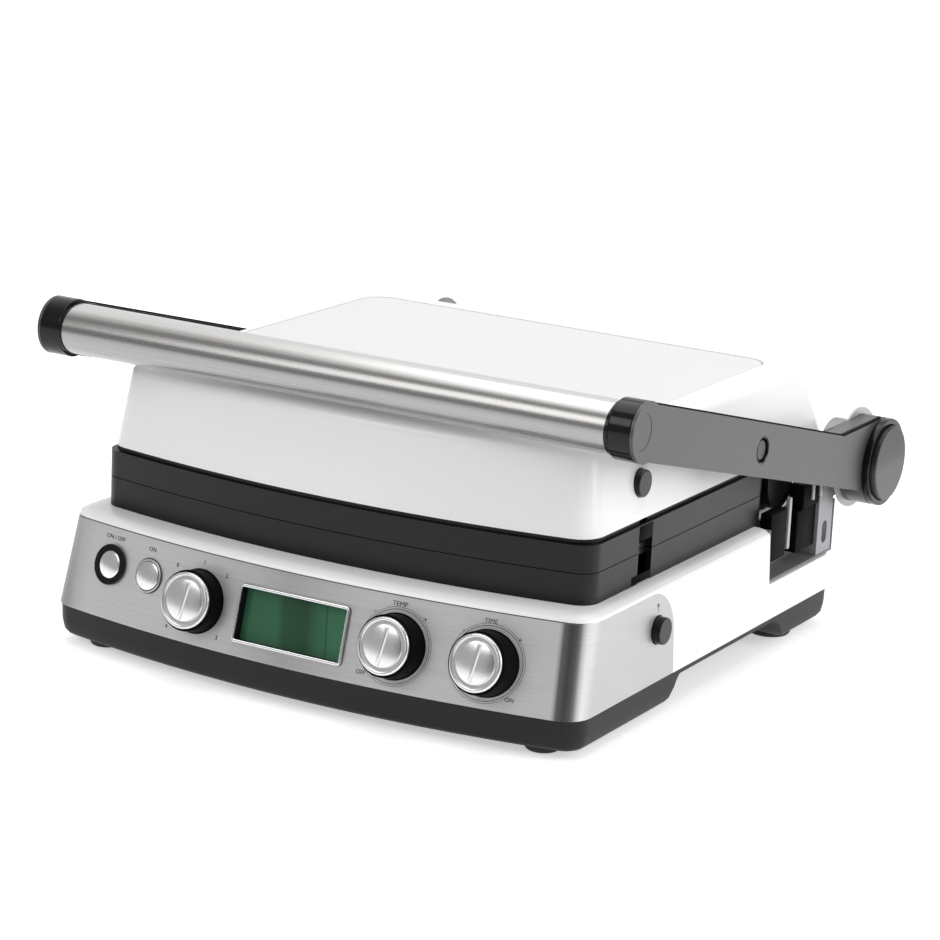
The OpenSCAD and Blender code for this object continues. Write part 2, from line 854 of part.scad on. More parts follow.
module power_board() {
    top = power_stand + board_t - eps;
    color([0.15, 0.4, 0.2]) translate([power_side - base_w / 2, y_chord + power_front, z_tray + wall]) union() {
        translate([0, 0, power_stand]) cube([power_w, power_d, board_t]);
        for (x = [power_post_in, power_w - power_post_in]) for (y = [power_post_in, power_d - power_post_in])
            translate([x, y, 0]) cylinder(r = 3, h = power_stand + eps);
        translate([2 * power_post_in, 2 * power_post_in, top]) cube([choke_w, choke_d, choke_h]);
        for (i = [1, 2]) translate([2 * power_post_in, choke_d + i * 1.5 * relay_d, top])
            cube([relay_w, relay_d, relay_h]);
        for (i = [1:3]) translate([power_w - 3 * can_r, i * 3.3 * can_r, top]) cylinder(r = can_r, h = can_h);
    }
}

// ---- plates and heat ----

// A cast plate standing on z0: a skirt, a land round the recess and the ribbed pan.
// The lower plate is drawn this way up, and the upper plate is its mirror image.
module cast_plate(h, notch_z) {
    pan_z = h - recess_d;
    tab_z = pan_z - cast_t - latch_tab_t;
    difference() {
        union() {
            difference() {
                linear_extrude(h) polygon(plate_ring(0));
                translate([0, 0, -over]) linear_extrude(h - cast_t + over) polygon(plate_ring(cast_t));
            }
            translate([0, 0, pan_z - cast_t]) linear_extrude(recess_d + cast_t - eps)
                polygon(plate_ring(land_w - pan_wall));
        }
        translate([0, 0, pan_z]) linear_extrude(recess_d + over) polygon(plate_ring(land_w));
        // notch for the latch in the right side of the rim
        block([plate_hw - cast_t - 1, latch_y - notch_w / 2, notch_z],
            [plate_hw + over, latch_y + notch_w / 2, h + over]);
    }
    ribs(pan_z);
    // tab under the pan that the hook holds
    block([hook_x - 9, latch_y - notch_w / 2 + 2, tab_z],
        [hook_x - 0.5 - move_gap, latch_y + notch_w / 2 - 2, tab_z + latch_tab_t + eps]);
}

module ribs(z) {
    inner = plate_hw - land_w - 9;
    count = floor(inner / rib_pitch);
    for (i = [-count:count]) {
        x = i * rib_pitch;
        y0 = plate_y - plate_bow + land_w + 8 + plate_bow * pow(x / plate_hw, 2);
        along_y(y0, plate_rear - land_w - 14) translate([x, z - eps])
            polygon([[-2.2, 0], [2.2, 0], [1.1, rib_h], [-1.1, rib_h]]);
    }
}

module lower_plate() {
    color([0.12, 0.12, 0.12]) translate([0, 0, z_deck]) difference() {
        cast_plate(lower_rim_h, -over);
        // spout through the rear rim
        block([-9, plate_rear - land_w - over, lower_rim_h - 5],
            [9, plate_rear + over, lower_rim_h + over]);
    }
}

module upper_plate() {
    color([0.12, 0.12, 0.12]) translate([0, 0, z_frame]) mirror([0, 0, 1])
        cast_plate(upper_rim_h, upper_notch_top);
}

// A bent tube in runs from side to side, with round ends
module heater(z) {
    r = heater_dia / 2;
    half = plate_hw - heater_in;
    y0 = (plate_y + plate_rear) / 2 - heater_pitch * (heater_runs - 1) / 2;
    translate([0, 0, z]) union() {
        for (i = [0:heater_runs - 1])
            translate([-half, y0 + i * heater_pitch, 0]) rotate([0, 90, 0]) cylinder(r = r, h = 2 * half);
        for (i = [0:heater_runs - 2])
            translate([(i % 2 == 0 ? 1 : -1) * half, y0 + (i + 0.5) * heater_pitch, 0])
                rotate([0, 0, i % 2 == 0 ? -90 : 90])
                    rotate_extrude(angle = 180) translate([heater_pitch / 2, 0]) circle(r = r);
    }
}

module lower_heater() {
    color([0.5, 0.45, 0.4]) heater(z_lower_rim - recess_d - cast_t - heater_dia / 2 - fit_gap);
}

module upper_heater() {
    color([0.5, 0.45, 0.4]) heater(z_upper_rim + recess_d + cast_t + heater_dia / 2 + fit_gap);
}

// A sheet pan that hangs from its flange, drawn with the flange on z = 0
module reflector(flange_in) {
    pan_in = land_w + 6;
    difference() {
        union() {
            linear_extrude(reflector_t) polygon(plate_ring(flange_in));
            translate([0, 0, -reflector_h]) linear_extrude(reflector_h + reflector_t) polygon(plate_ring(pan_in));
        }
        translate([0, 0, reflector_t - reflector_h]) linear_extrude(reflector_h + over)
            polygon(plate_ring(pan_in + reflector_t));
        translate([0, (plate_y + plate_rear) / 2, -reflector_h - over]) cylinder(r = 4 + fit_gap, h = reflector_h);
        block([latch_x - 6, latch_y - notch_w / 2, -over], [plate_hw, latch_y + notch_w / 2, reflector_t + over]);
    }
}

module lower_reflector() {
    color([0.7, 0.7, 0.72]) translate([0, 0, z_deck]) reflector(cast_t + 0.3);
}

module upper_reflector() {
    color([0.7, 0.7, 0.72]) translate([0, 0, z_lid + reflector_t]) mirror([0, 0, 1]) reflector(land_w - 3);
}

module lower_sensor() {
    top = z_lower_rim - recess_d - cast_t - fit_gap;
    color("silver") translate([0, (plate_y + plate_rear) / 2, 0]) union() {
        translate([0, 0, top - 5]) cylinder(r = 7, h = 5);
        translate([0, 0, top - 24]) cylinder(r = 4, h = 20);
    }
}

// ---- latches for the plates ----

lower_pin_z = z_base + lower_release_z + latch_arm;
lower_hook_z = z_lower_rim - recess_d - cast_t + latch_gap;
upper_pin_z = z_lid + upper_release_z - latch_arm;
upper_hook_z = z_upper_rim + recess_d + cast_t - latch_gap;

// Side view of the lower lever about its pin; the upper lever is its mirror image
module latch_lever(rise) {
    bar_x = hook_x - latch_x - 0.5;
    difference() {
        union() {
            translate([-latch_t / 2, -latch_arm - latch_foot]) square([latch_t, latch_arm + latch_foot]);
            circle(r = latch_boss_r);
            translate([0, -latch_t / 2]) square([bar_x + 2, latch_t]);
            translate([bar_x, 0]) square([2, rise + latch_toe_t]);
            translate([bar_x - latch_toe + 0.5, rise]) square([latch_toe, latch_toe_t]);
        }
        circle(r = latch_pin_r + run_gap);
    }
}

module lower_latch() {
    color([0.2, 0.2, 0.2]) translate([latch_x, 0, lower_pin_z])
        along_y(latch_y - latch_w / 2, latch_y + latch_w / 2) latch_lever(lower_hook_z - lower_pin_z);
}

module upper_latch() {
    color([0.2, 0.2, 0.2]) translate([latch_x, 0, upper_pin_z]) mirror([0, 0, 1])
        along_y(latch_y - latch_w / 2, latch_y + latch_w / 2) latch_lever(upper_pin_z - upper_hook_z);
}

// Two cheeks from x0 to x1 and z0 to z1, with the pin that the lever turns on
module latch_cheeks(pin_z, x0, x1, z0, z1) {
    for (s = [-1, 1]) {
        y = latch_y + s * (latch_w / 2 + move_gap + 1.1);
        block([x0, y - 1.1, z0], [x1, y + 1.1, z1]);
    }
    translate([latch_x, latch_y + latch_w / 2 + 1.5, pin_z]) rotate([90, 0, 0])
        cylinder(r = latch_pin_r, h = latch_w + 3);
}

module lower_latch_bracket() {
    color([0.15, 0.15, 0.15]) latch_cheeks(lower_pin_z, latch_x - 4, hook_x + 9, lower_pin_z - 4, z_deck - wall);
}

// A round button with a slim stem that reaches in to the foot of its lever
module release_button(z, x_out, head) {
    y = plate_y + release_y;
    rod_x(y, z, release_r, x_out - head, x_out);
    rod_x(y, z, stem_r_small, latch_x + latch_t / 2 + stem_gap, x_out - head + eps);
}

module lower_release_button() {
    x_out = base_half(z_base + lower_release_z) + release_out;
    color([0.1, 0.1, 0.1]) release_button(z_base + lower_release_z, x_out, 14);
}

module upper_release_button() {
    x_out = lid_hw - lid_taper * upper_release_z / (lid_h - roof_roll) + release_out - 1.6;
    color([0.1, 0.1, 0.1]) release_button(z_lid + upper_release_z, x_out, release_out + 0.7);
}

// ---- hinge ----

module hinge_well_liners() {
    color([0.45, 0.45, 0.45]) both_sides() difference() {
        block([well_in, well_front, well_z], [base_half(z_front_top) - 0.4, well_rear, z_deck - 0.6]);
        block([well_in + liner_wall, well_front + liner_wall, well_z + liner_wall],
            [base_w, well_rear - liner_wall, z_deck + over]);
    }
}

// Side view of a bracket: a post out of the well that reaches back to the hinge pin
module bracket_profile() {
    y1 = well_rear - liner_wall - 1;
    y0 = y1 - bracket_post_d;
    z0 = well_z + liner_wall;
    z_clear = z_deck + 1.5;
    difference() {
        union() {
            polygon([
                [y0, z0], [y1, z0], [y1, z_clear], [hub_y, z_clear],
                [hub_y, hub_z], [hub_y - bracket_r * 0.8, hub_z + 8], [y0, z_deck + 4]
            ]);
            translate([hub_y, hub_z]) circle(r = bracket_r);
        }
        translate([hub_y, hub_z]) circle(r = hinge_pin_r + fit_gap);
    }
}

module hinge_bracket() {
    y1 = well_rear - liner_wall - 1;
    difference() {
        union() {
            along_x(bracket_in, bracket_in + bracket_w) bracket_profile();
            along_x(bracket_in + bracket_w - eps, bracket_out) difference() {
                translate([hub_y, hub_z]) circle(r = bracket_r);
                translate([hub_y, hub_z]) circle(r = hinge_pin_r + fit_gap);
            }
        }
        // slot in the outer face of the post
        along_x(bracket_in + bracket_w - 3, bracket_in + bracket_w + over)
            translate([y1 - bracket_post_d / 2 - 3.5, well_z + 11]) union() {
                square([7, 7]);
                translate([3.5, 0]) circle(r = 3.5);
                translate([3.5, 7]) circle(r = 3.5);
            }
    }
}

module hinge_bracket_right() {
    color([0.4, 0.4, 0.4]) hinge_bracket();
}

module hinge_bracket_left() {
    color([0.4, 0.4, 0.4]) mirror([1, 0, 0]) hinge_bracket();
}

module hinge_pins() {
    color("silver") both_sides()
        rod_x(hub_y, hub_z, hinge_pin_r, bracket_in + 1, arm_out - hub_pocket_d - 1);
}

// ---- handle and arms ----

// Side view of an arm: a straight bar that slopes down to a round hub
module arm_profile() {
    translate([handle_y, handle_z]) circle(r = handle_end_r);
    translate([hub_y, hub_z - arm_drop]) rotate(180 - arm_slope)
        translate([0, -arm_h / 2]) square([arm_len, arm_h]);
    translate([hub_y, hub_z]) circle(r = hub_r);
    polygon([
        [hub_y, hub_z + hub_r - 0.3], [hub_y - shoulder_len, hub_z + hub_r - 0.3],
        [hub_y - shoulder_len, hub_z], [hub_y, hub_z]
    ]);
}

cap_end_y = handle_y + handle_cap_len;
liner_end_y = hub_y - hub_r - 14;

module between_y(y0, y1) {
    translate([y0, 0]) square([y1 - y0, 2 * handle_z]);
}

module arm_blank() {
    difference() {
        along_x(arm_in, arm_out) arm_profile();
        // the black end cap fills the front end, inside the outer skin
        along_x(arm_in - over, arm_out - arm_skin) between_y(handle_y - 50, cap_end_y);
        // the liner covers the inner face
        along_x(arm_in - over, arm_in + liner_t) between_y(cap_end_y - over, liner_end_y);
        rod_x(hub_y, hub_z, hinge_pin_r + run_gap, arm_in - over, arm_out);
        rod_x(hub_y, hub_z, hub_cap_r + move_gap, arm_out - hub_pocket_d, arm_out + over);
        rod_x(pivot_y, pivot_z, pivot_recess_r, arm_out - pivot_recess_d, arm_out + over);
        rod_x(pivot_y, pivot_z, pivot_r + fit_gap, arm_in - over, arm_out);
        rod_x(cover_y, cover_z, cover_r + fit_gap, arm_out - cover_t, arm_out + over);
    }
}

cover_y = handle_y - cover_ahead * cos(arm_slope);
cover_z = handle_z + cover_ahead * sin(arm_slope);

module arm_right() {
    color([0.48, 0.48, 0.48]) arm_blank();
}

module arm_left() {
    color([0.48, 0.48, 0.48]) mirror([1, 0, 0]) arm_blank();
}

module arm_liners() {
    color([0.1, 0.1, 0.1]) both_sides() difference() {
        along_x(arm_in, arm_in + liner_t) intersection() {
            arm_profile();
            between_y(cap_end_y, liner_end_y);
        }
        rod_x(pivot_y, pivot_z, pivot_r + fit_gap, arm_in - over, arm_out);
    }
}

module handle_screw_covers() {
    color([0.42, 0.42, 0.42]) both_sides() rod_x(cover_y, cover_z, cover_r, arm_out - cover_t, arm_out - 0.2);
}

module handle_cap() {
    along_x(arm_in, arm_out - arm_skin) intersection() {
        arm_profile();
        between_y(handle_y - 50, cap_end_y);
    }
    along_x(arm_in - plug_len, arm_in + eps) translate([handle_y, handle_z])
        polygon(oval(handle_d - 2 * handle_wall - 2 * fit_gap, handle_h - 2 * handle_wall - 2 * fit_gap));
}

module handle_cap_right() {
    color([0.1, 0.1, 0.1]) handle_cap();
}

module handle_cap_left() {
    color([0.1, 0.1, 0.1]) mirror([1, 0, 0]) handle_cap();
}

module handle_tube() {
    color([0.78, 0.78, 0.78]) along_x(-arm_in, arm_in) translate([handle_y, handle_z]) difference() {
        polygon(oval(handle_d, handle_h));
        polygon(oval(handle_d - 2 * handle_wall, handle_h - 2 * handle_wall));
    }
}

module hub_flanges() {
    color([0.15, 0.15, 0.15]) both_sides() along_x(arm_in - flange_t, arm_in)
        translate([hub_y, hub_z]) difference() {
            circle(r = flange_r);
            circle(r = hinge_pin_r + 2 * run_gap);
        }
}

module hub_rings() {
    color([0.06, 0.06, 0.06]) both_sides() along_x(arm_out, arm_out + hub_ring_out)
        translate([hub_y, hub_z]) difference() {
            circle(r = hub_r);
            circle(r = hub_cap_r + move_gap);
        }
}

module hub_cap(out) {
    rod_x(hub_y, hub_z, hub_cap_r, out - hub_cap_t, out);
}

module hub_cap_left() {
    color([0.45, 0.45, 0.45]) mirror([1, 0, 0]) union() {
        hub_cap(arm_out + hub_cap_out);
        rod_x(hub_y, hub_z, stem_r, arm_out - hub_pocket_d, arm_out + hub_cap_out - hub_cap_t + eps);
    }
}

// The stem stops short of the pocket's floor by the travel of the button
module hinge_release_button() {
    color([0.45, 0.45, 0.45]) union() {
        hub_cap(arm_out + hub_cap_out);
        rod_x(hub_y, hub_z, stem_r, arm_out - hub_pocket_d + hinge_travel + move_gap,
            arm_out + hub_cap_out - hub_cap_t + eps);
    }
}

module pivot_screws() {
    color("silver") both_sides() union() {
        rod_x(pivot_y, pivot_z, pivot_recess_r - 2.5, arm_out - pivot_recess_d, arm_out - 1);
        rod_x(pivot_y, pivot_z, pivot_r, arm_in - pivot_screw_in, arm_out - pivot_recess_d + eps);
    }
}

// ---- lid ----

wall_top = lid_h - roof_roll;
roll_steps = 5;

// The outside of the lid, or with t its inside
function lid_rings(t) = concat(
    [[z_lid - (t > 0 ? over : 0), lid_ring(0, 0, t)]],
    [
        for (i = [0:roll_steps])
            let (a = 90 * i / roll_steps, c = 1 - cos(a))
            [
                z_lid + wall_top + (roof_roll - 1.4 * t) * sin(a) - (t > 0 ? 0.5 : 0),
                lid_ring(lid_taper + (panel_inset - lid_taper) * c,
                    lid_rear_lean + (panel_rear_inset - lid_rear_lean) * c, t)
            ]
    ]
);

panel_t = 1.6;
panel_sink = 0.25;
panel_groove = 0.7;

module lid_shell() {
    wire_r = grommet_r + fit_gap;
    color([0.97, 0.96, 0.95]) difference() {
        loft(lid_rings(0));
        loft(lid_rings(wall));
        translate([0, 0, z_roof - panel_t - panel_sink]) linear_extrude(panel_t + over)
            polygon(lid_ring(panel_inset + 0.3, panel_rear_inset + 0.3));
        both_sides() rod_x(pivot_y, pivot_z, pivot_boss_r + fit_gap, lid_hw / 2, base_w);
        rod_x(plate_y + release_y, z_lid + upper_release_z, release_r + move_gap, latch_x, base_w);
        translate([grommet_x, grommet_y, z_lid - over]) cylinder(r = wire_r, h = lid_h - roof_roll);
        translate([grommet_x, grommet_y, z_lid + grommet_h]) sphere(r = wire_r);
    }
}

module lid_top_panel() {
    color([0.93, 0.93, 0.93]) translate([0, 0, z_roof - panel_t - panel_sink]) linear_extrude(panel_t)
        polygon(lid_ring(panel_inset + 0.3 + panel_groove, panel_rear_inset + 0.3 + panel_groove));
}

grommet_r = 8;
grommet_x = -106;
grommet_y = lid_rear - 18.3;
grommet_h = wall_top - 0.5;

module lid_wire_grommet() {
    color([0.5, 0.5, 0.5]) translate([grommet_x, grommet_y, z_lid]) union() {
        cylinder(r = grommet_r, h = grommet_h);
        translate([0, 0, grommet_h]) sphere(r = grommet_r);
    }
}

lug_in = 9.75;
lug_t = 8;
lug_r = 18;
lug_y = plate_rear + 26;

module lid_frame() {
    color([0.08, 0.08, 0.08]) union() {
        translate([0, 0, z_frame]) linear_extrude(shadow_gap) difference() {
            polygon(lid_ring(0.5, 3));
            polygon(plate_ring(land_w));
            // room for the lever of the upper latch
            translate([latch_x - 5, latch_y - latch_w / 2 - move_gap])
                square([20, latch_w + 2 * move_gap]);
        }
        // round lugs that hang down in front of the hinge
        both_sides() along_x(lid_hw - lug_in, lid_hw - lug_in + lug_t) difference() {
            translate([lug_y, z_deck + 1.5 + lug_r]) union() {
                circle(r = lug_r);
                translate([-lug_r, 0]) square([2 * lug_r, lug_r]);
            }
            translate([lug_y - 2 * lug_r, z_frame + eps]) square([4 * lug_r, 2 * lug_r]);
        }
        // cheeks and pin of the upper latch
        latch_cheeks(upper_pin_z, latch_x - 3, hook_x + 2, z_frame + eps, upper_pin_z + 4);
    }
}

module lid_pivots() {
    color([0.15, 0.15, 0.15]) both_sides() difference() {
        rod_x(pivot_y, pivot_z, pivot_boss_r, arm_in - pivot_screw_in - 3, arm_in - move_gap);
        rod_x(pivot_y, pivot_z, pivot_r + run_gap, arm_in - pivot_screw_in - 1, arm_in);
    }
}

base_shell();
bottom_tray();
control_fascia();
lcd_bezel();
lcd_window();
lcd_module();
control_board();
power_board();
encoder_bodies();
key_switches();
power_key_ring();
mode_key_ring();
lower_plate();
lower_heater();
lower_reflector();
lower_sensor();
hinge_bracket_left();
hinge_bracket_right();
hinge_pins();
hinge_well_liners();
feet();
base_screws();
cord_gland();
lower_latch_bracket();
lower_release_button();
lower_latch();
drip_tray();
function_skirt();
function_cap();
function_shaft();
temperature_skirt();
temperature_cap();
temperature_shaft();
timer_skirt();
timer_cap();
timer_shaft();
power_key();
mode_key();
handle_tube();
handle_cap_left();
handle_cap_right();
arm_left();
arm_right();
arm_liners();
handle_screw_covers();
hub_rings();
hub_flanges();
hub_cap_left();
pivot_screws();
hinge_release_button();
lid_shell();
lid_top_panel();
lid_frame();
lid_pivots();
lid_wire_grommet();
upper_plate();
upper_heater();
upper_reflector();
upper_release_button();
upper_latch();
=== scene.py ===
# %% [markdown]
# # An indoor grill with a floating lid
# The CAD model gives every solid its place. This script loads it, gives each solid a
# finish, adds the small pieces that are easier to make in Blender, and sets up the
# camera and the studio. Places are worked out in millimetres and scaled to metres at the
# end: X is to the right of the controls, Y runs to the rear hinge and Z is up.

# %% Load the model
import math

import bmesh
import bpy
from mathutils import Matrix, Vector


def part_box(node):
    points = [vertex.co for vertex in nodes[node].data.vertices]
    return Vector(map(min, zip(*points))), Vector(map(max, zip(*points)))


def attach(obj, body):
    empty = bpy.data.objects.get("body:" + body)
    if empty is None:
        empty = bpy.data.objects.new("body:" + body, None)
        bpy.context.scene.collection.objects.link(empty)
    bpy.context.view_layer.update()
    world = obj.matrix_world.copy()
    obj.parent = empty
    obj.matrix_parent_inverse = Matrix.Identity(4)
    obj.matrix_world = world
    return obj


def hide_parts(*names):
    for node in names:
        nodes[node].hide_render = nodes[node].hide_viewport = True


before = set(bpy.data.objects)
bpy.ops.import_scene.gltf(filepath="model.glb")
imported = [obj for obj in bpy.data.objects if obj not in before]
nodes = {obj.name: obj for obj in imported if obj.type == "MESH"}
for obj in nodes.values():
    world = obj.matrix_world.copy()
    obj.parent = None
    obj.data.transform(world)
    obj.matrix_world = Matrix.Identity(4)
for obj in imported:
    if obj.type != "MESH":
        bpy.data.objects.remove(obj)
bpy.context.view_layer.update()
scene = bpy.context.scene
MM = 0.001

# %% [markdown]
# ## Camera
# A product photograph is taken from far away with a long lens, so that the edges stay
# almost parallel. The camera's three axes are written as columns of its matrix: right,
# up, and back towards the photographer. The lens is given for a sensor 36 mm wide.

# %% Camera
yaw, pitch, roll = math.radians(29.8137), math.radians(14.8700), math.radians(2.7191)
camera_place = Vector((0.92114, -1.60349, 0.58898))
back = Vector((math.sin(yaw) * math.cos(pitch), -math.cos(yaw) * math.cos(pitch), math.sin(pitch)))
level = Vector((math.cos(yaw), math.sin(yaw), 0))
upright = back.cross(level)
right = level * math.cos(roll) + upright * math.sin(roll)
up = upright * math.cos(roll) - level * math.sin(roll)
camera_data = bpy.data.cameras.new("camera")
camera_data.lens = 122.89
camera_data.sensor_width = 36
camera_data.clip_end = 20
camera = bpy.data.objects.new("camera", camera_data)
axes = Matrix((right, up, back)).transposed().to_4x4()
camera.matrix_world = Matrix.Translation(camera_place) @ axes
scene.collection.objects.link(camera)
scene.camera = camera
print("camera at", tuple(camera_place))

# %% [markdown]
# ## Node groups shared by many finishes
# Almost no surface is one even colour. A moulded plastic has a fine grain, brushed steel
# has lines that run one way, and paint has a faint unevenness. Each effect is a node
# group with named inputs, built once and placed in every material that needs it. All of
# them read Object coordinates, which are the frame's own metres on every piece.


# %% Helpers for node groups
def new_group(name, inputs, outputs):
    group = bpy.data.node_groups.new(name, "ShaderNodeTree")
    for label, kind, value in inputs:
        socket = group.interface.new_socket(label, in_out="INPUT", socket_type=kind)
        if value is not None:
            socket.default_value = value
    for label, kind in outputs:
        group.interface.new_socket(label, in_out="OUTPUT", socket_type=kind)
    return group, group.nodes.new("NodeGroupInput"), group.nodes.new("NodeGroupOutput")


def add_math(tree, operation, a, b=None):
    node = tree.nodes.new("ShaderNodeMath")
    node.operation = operation
    for slot, value in zip(node.inputs, (a, b)):
        if value is None:
            continue
        if isinstance(value, (int, float)):
            slot.default_value = value
        else:
            tree.links.new(value, slot)
    return node.outputs[0]


def tone_about_one(tree, noise, contrast):
    """A noise between 0 and 1 becomes a tone that swings about 1."""
    even = add_math(tree, "SUBTRACT", noise, 0.5)
    swing = add_math(tree, "MULTIPLY", even, contrast)
    return add_math(tree, "ADD", swing, 1.0)


def add_tint(tree, tone):
    """A node that multiplies its colour A by a tone."""
    node = tree.nodes.new("ShaderNodeMix")
    node.data_type = "RGBA"
    node.blend_type = "MULTIPLY"
    node.inputs["Factor"].default_value = 1
    tree.links.new(tone, node.inputs["B"])
    return node


# %% Group: moulded grain
grain, g_in, g_out = new_group(
    "moulded_grain",
    [("Scale", "NodeSocketFloat", 1500.0), ("Contrast", "NodeSocketFloat", 0.1)],
    [("Height", "NodeSocketFloat"), ("Tone", "NodeSocketFloat")])
g_place = grain.nodes.new("ShaderNodeTexCoord")
g_fine = grain.nodes.new("ShaderNodeTexNoise")
g_fine.inputs["Detail"].default_value = 3
grain.links.new(g_place.outputs["Object"], g_fine.inputs["Vector"])
grain.links.new(g_in.outputs["Scale"], g_fine.inputs["Scale"])
g_wide = grain.nodes.new("ShaderNodeTexNoise")
g_wide.inputs["Scale"].default_value = 14
g_wide.inputs["Detail"].default_value = 4
grain.links.new(g_place.outputs["Object"], g_wide.inputs["Vector"])
grain.links.new(g_fine.outputs["Fac"], g_out.inputs["Height"])
g_tone = tone_about_one(grain, g_wide.outputs["Fac"], g_in.outputs["Contrast"])
grain.links.new(g_tone, g_out.inputs["Tone"])
print("group", grain.name)

# %% Group: brushed lines
brushed, b_in, b_out = new_group(
    "brushed_lines",
    [("Stretch", "NodeSocketVector", (4.0, 900.0, 900.0)), ("Contrast", "NodeSocketFloat", 0.2)],
    [("Height", "NodeSocketFloat"), ("Tone", "NodeSocketFloat")])
b_place = brushed.nodes.new("ShaderNodeTexCoord")
b_stretch = brushed.nodes.new("ShaderNodeVectorMath")
b_stretch.operation = "MULTIPLY"
brushed.links.new(b_place.outputs["Object"], b_stretch.inputs[0])
brushed.links.new(b_in.outputs["Stretch"], b_stretch.inputs[1])
b_lines = brushed.nodes.new("ShaderNodeTexNoise")
b_lines.inputs["Scale"].default_value = 1
b_lines.inputs["Detail"].default_value = 5
brushed.links.new(b_stretch.outputs[0], b_lines.inputs["Vector"])
brushed.links.new(b_lines.outputs["Fac"], b_out.inputs["Height"])
b_tone = tone_about_one(brushed, b_lines.outputs["Fac"], b_in.outputs["Contrast"])
brushed.links.new(b_tone, b_out.inputs["Tone"])
print("group", brushed.name)

# %% [markdown]
# ## Finishes
# Each material is one Principled shader. The group's Tone multiplies the base colour and
# moves the roughness a little, and its Height feeds a Bump node, so that colour, gloss and
# relief come from the same group. The relief's depth is in metres.

# %% Helper: a material with a pattern
relief_depth = 0.0001
rough_swing = 0.3


def finish(name, colour, rough, metal=0.0, pattern=grain, bump=0.1, gloss=0.5, **values):
    material = bpy.data.materials.new(name)
    material.use_nodes = True
    tree = material.node_tree
    shader = tree.nodes["Principled BSDF"]
    shader.inputs["Metallic"].default_value = metal
    shader.inputs["Specular IOR Level"].default_value = gloss
    group = tree.nodes.new("ShaderNodeGroup")
    group.node_tree = pattern
    for label, value in values.items():
        group.inputs[label].default_value = value
    tint = add_tint(tree, group.outputs["Tone"])
    tint.name = "tint"
    tint.inputs["A"].default_value = (*colour, 1)
    tree.links.new(tint.outputs["Result"], shader.inputs["Base Color"])
    swing = add_math(tree, "SUBTRACT", group.outputs["Tone"], 1.0)
    swing = add_math(tree, "MULTIPLY", swing, rough_swing)
    tree.links.new(add_math(tree, "ADD", swing, rough), shader.inputs["Roughness"])
    relief = tree.nodes.new("ShaderNodeBump")
    relief.inputs["Strength"].default_value = bump
    relief.inputs["Distance"].default_value = relief_depth
    tree.links.new(group.outputs["Height"], relief.inputs["Height"])
    tree.links.new(relief.outputs["Normal"], shader.inputs["Normal"])
    return material


# %% The finishes
white_paint = finish("white_paint", (0.86, 0.85, 0.835), 0.22, bump=0.02, Contrast=0.03, Scale=700.0)
white_plastic = finish("white_plastic", (0.87, 0.865, 0.855), 0.25, bump=0.02, Contrast=0.02, Scale=900.0)
panel_paint = finish("panel_paint", (0.68, 0.68, 0.68), 0.3, bump=0.02, Contrast=0.03, Scale=700.0)
steel_front = finish("steel_front", (0.72, 0.715, 0.71), 0.46, metal=0.8, pattern=brushed,
                     Stretch=(6.0, 30.0, 1400.0), Contrast=0.3, bump=0.07)
steel_tube = finish("steel_tube", (0.62, 0.61, 0.6), 0.27, metal=1.0, pattern=brushed,
                    Stretch=(6.0, 900.0, 900.0), Contrast=0.3, bump=0.12)
chrome = finish("chrome", (0.8, 0.8, 0.81), 0.07, metal=1.0, bump=0.01, Contrast=0.04)
satin_chrome = finish("satin_chrome", (0.74, 0.74, 0.74), 0.22, metal=0.9, bump=0.01, Contrast=0.04)
grey_satin = finish("grey_satin", (0.068, 0.068, 0.068), 0.36, metal=0.3, bump=0.05, Contrast=0.1,
                    Scale=2500.0)
# The arms' dark grey, kept apart so that the hub caps carry painted shade that darkens upwards.
hub_grey = finish("hub_grey", (0.07, 0.07, 0.07), 0.24, metal=0.2, gloss=0.2, bump=0.05, Contrast=0.1,
                  Scale=2500.0)
flange_grey = finish("flange_grey", (0.45, 0.45, 0.45), 0.4, metal=0.3, bump=0.05, Contrast=0.1)
hinge_grey = finish("hinge_grey", (0.3, 0.3, 0.31), 0.45, metal=0.3, bump=0.1, Contrast=0.2)
black_gloss = finish("black_gloss", (0.005, 0.005, 0.005), 0.14, gloss=0.25, bump=0.02, Contrast=0.1)
black_matte = finish("black_matte", (0.006, 0.006, 0.006), 0.34, gloss=0.2, bump=0.15, Contrast=0.15)
skirt_black = finish("skirt_black", (0.003, 0.003, 0.003), 0.5, gloss=0.03, bump=0.1, Contrast=0.1)
tray_grey = finish("tray_grey", (0.014, 0.014, 0.014), 0.45, gloss=0.2, bump=0.2, Contrast=0.15)
plate_black = finish("plate_black", (0.006, 0.006, 0.006), 0.36, gloss=0.25, bump=0.12, Contrast=0.2)
well_grey = finish("well_grey", (0.17, 0.17, 0.17), 0.45, bump=0.15, Contrast=0.1)
rubber = finish("rubber", (0.02, 0.02, 0.02), 0.6, bump=0.2, Contrast=0.1)
plain_steel = finish("plain_steel", (0.5, 0.5, 0.5), 0.3, metal=1.0, bump=0.05, Contrast=0.1)
dark_screw = finish("dark_screw", (0.05, 0.05, 0.05), 0.35, metal=0.6, bump=0.05, Contrast=0.1)
sheet_metal = finish("sheet_metal", (0.7, 0.7, 0.72), 0.25, metal=1.0, bump=0.05, Contrast=0.1)
heater_steel = finish("heater_steel", (0.25, 0.2, 0.16), 0.4, metal=1.0, bump=0.1, Contrast=0.4)
board_green = finish("board_green", (0.02, 0.12, 0.05), 0.4, bump=0.05, Contrast=0.1)
display_green = finish("display_green", (0.042, 0.15, 0.078), 0.08, gloss=0.4, bump=0.01, Contrast=0.05)
print_grey = finish("print_grey", (0.02, 0.02, 0.02), 0.6, gloss=0.05, bump=0.01, Contrast=0.02)
seam_grey = finish("seam_grey", (0.12, 0.12, 0.12), 0.6, gloss=0.1, bump=0.01, Contrast=0.02)
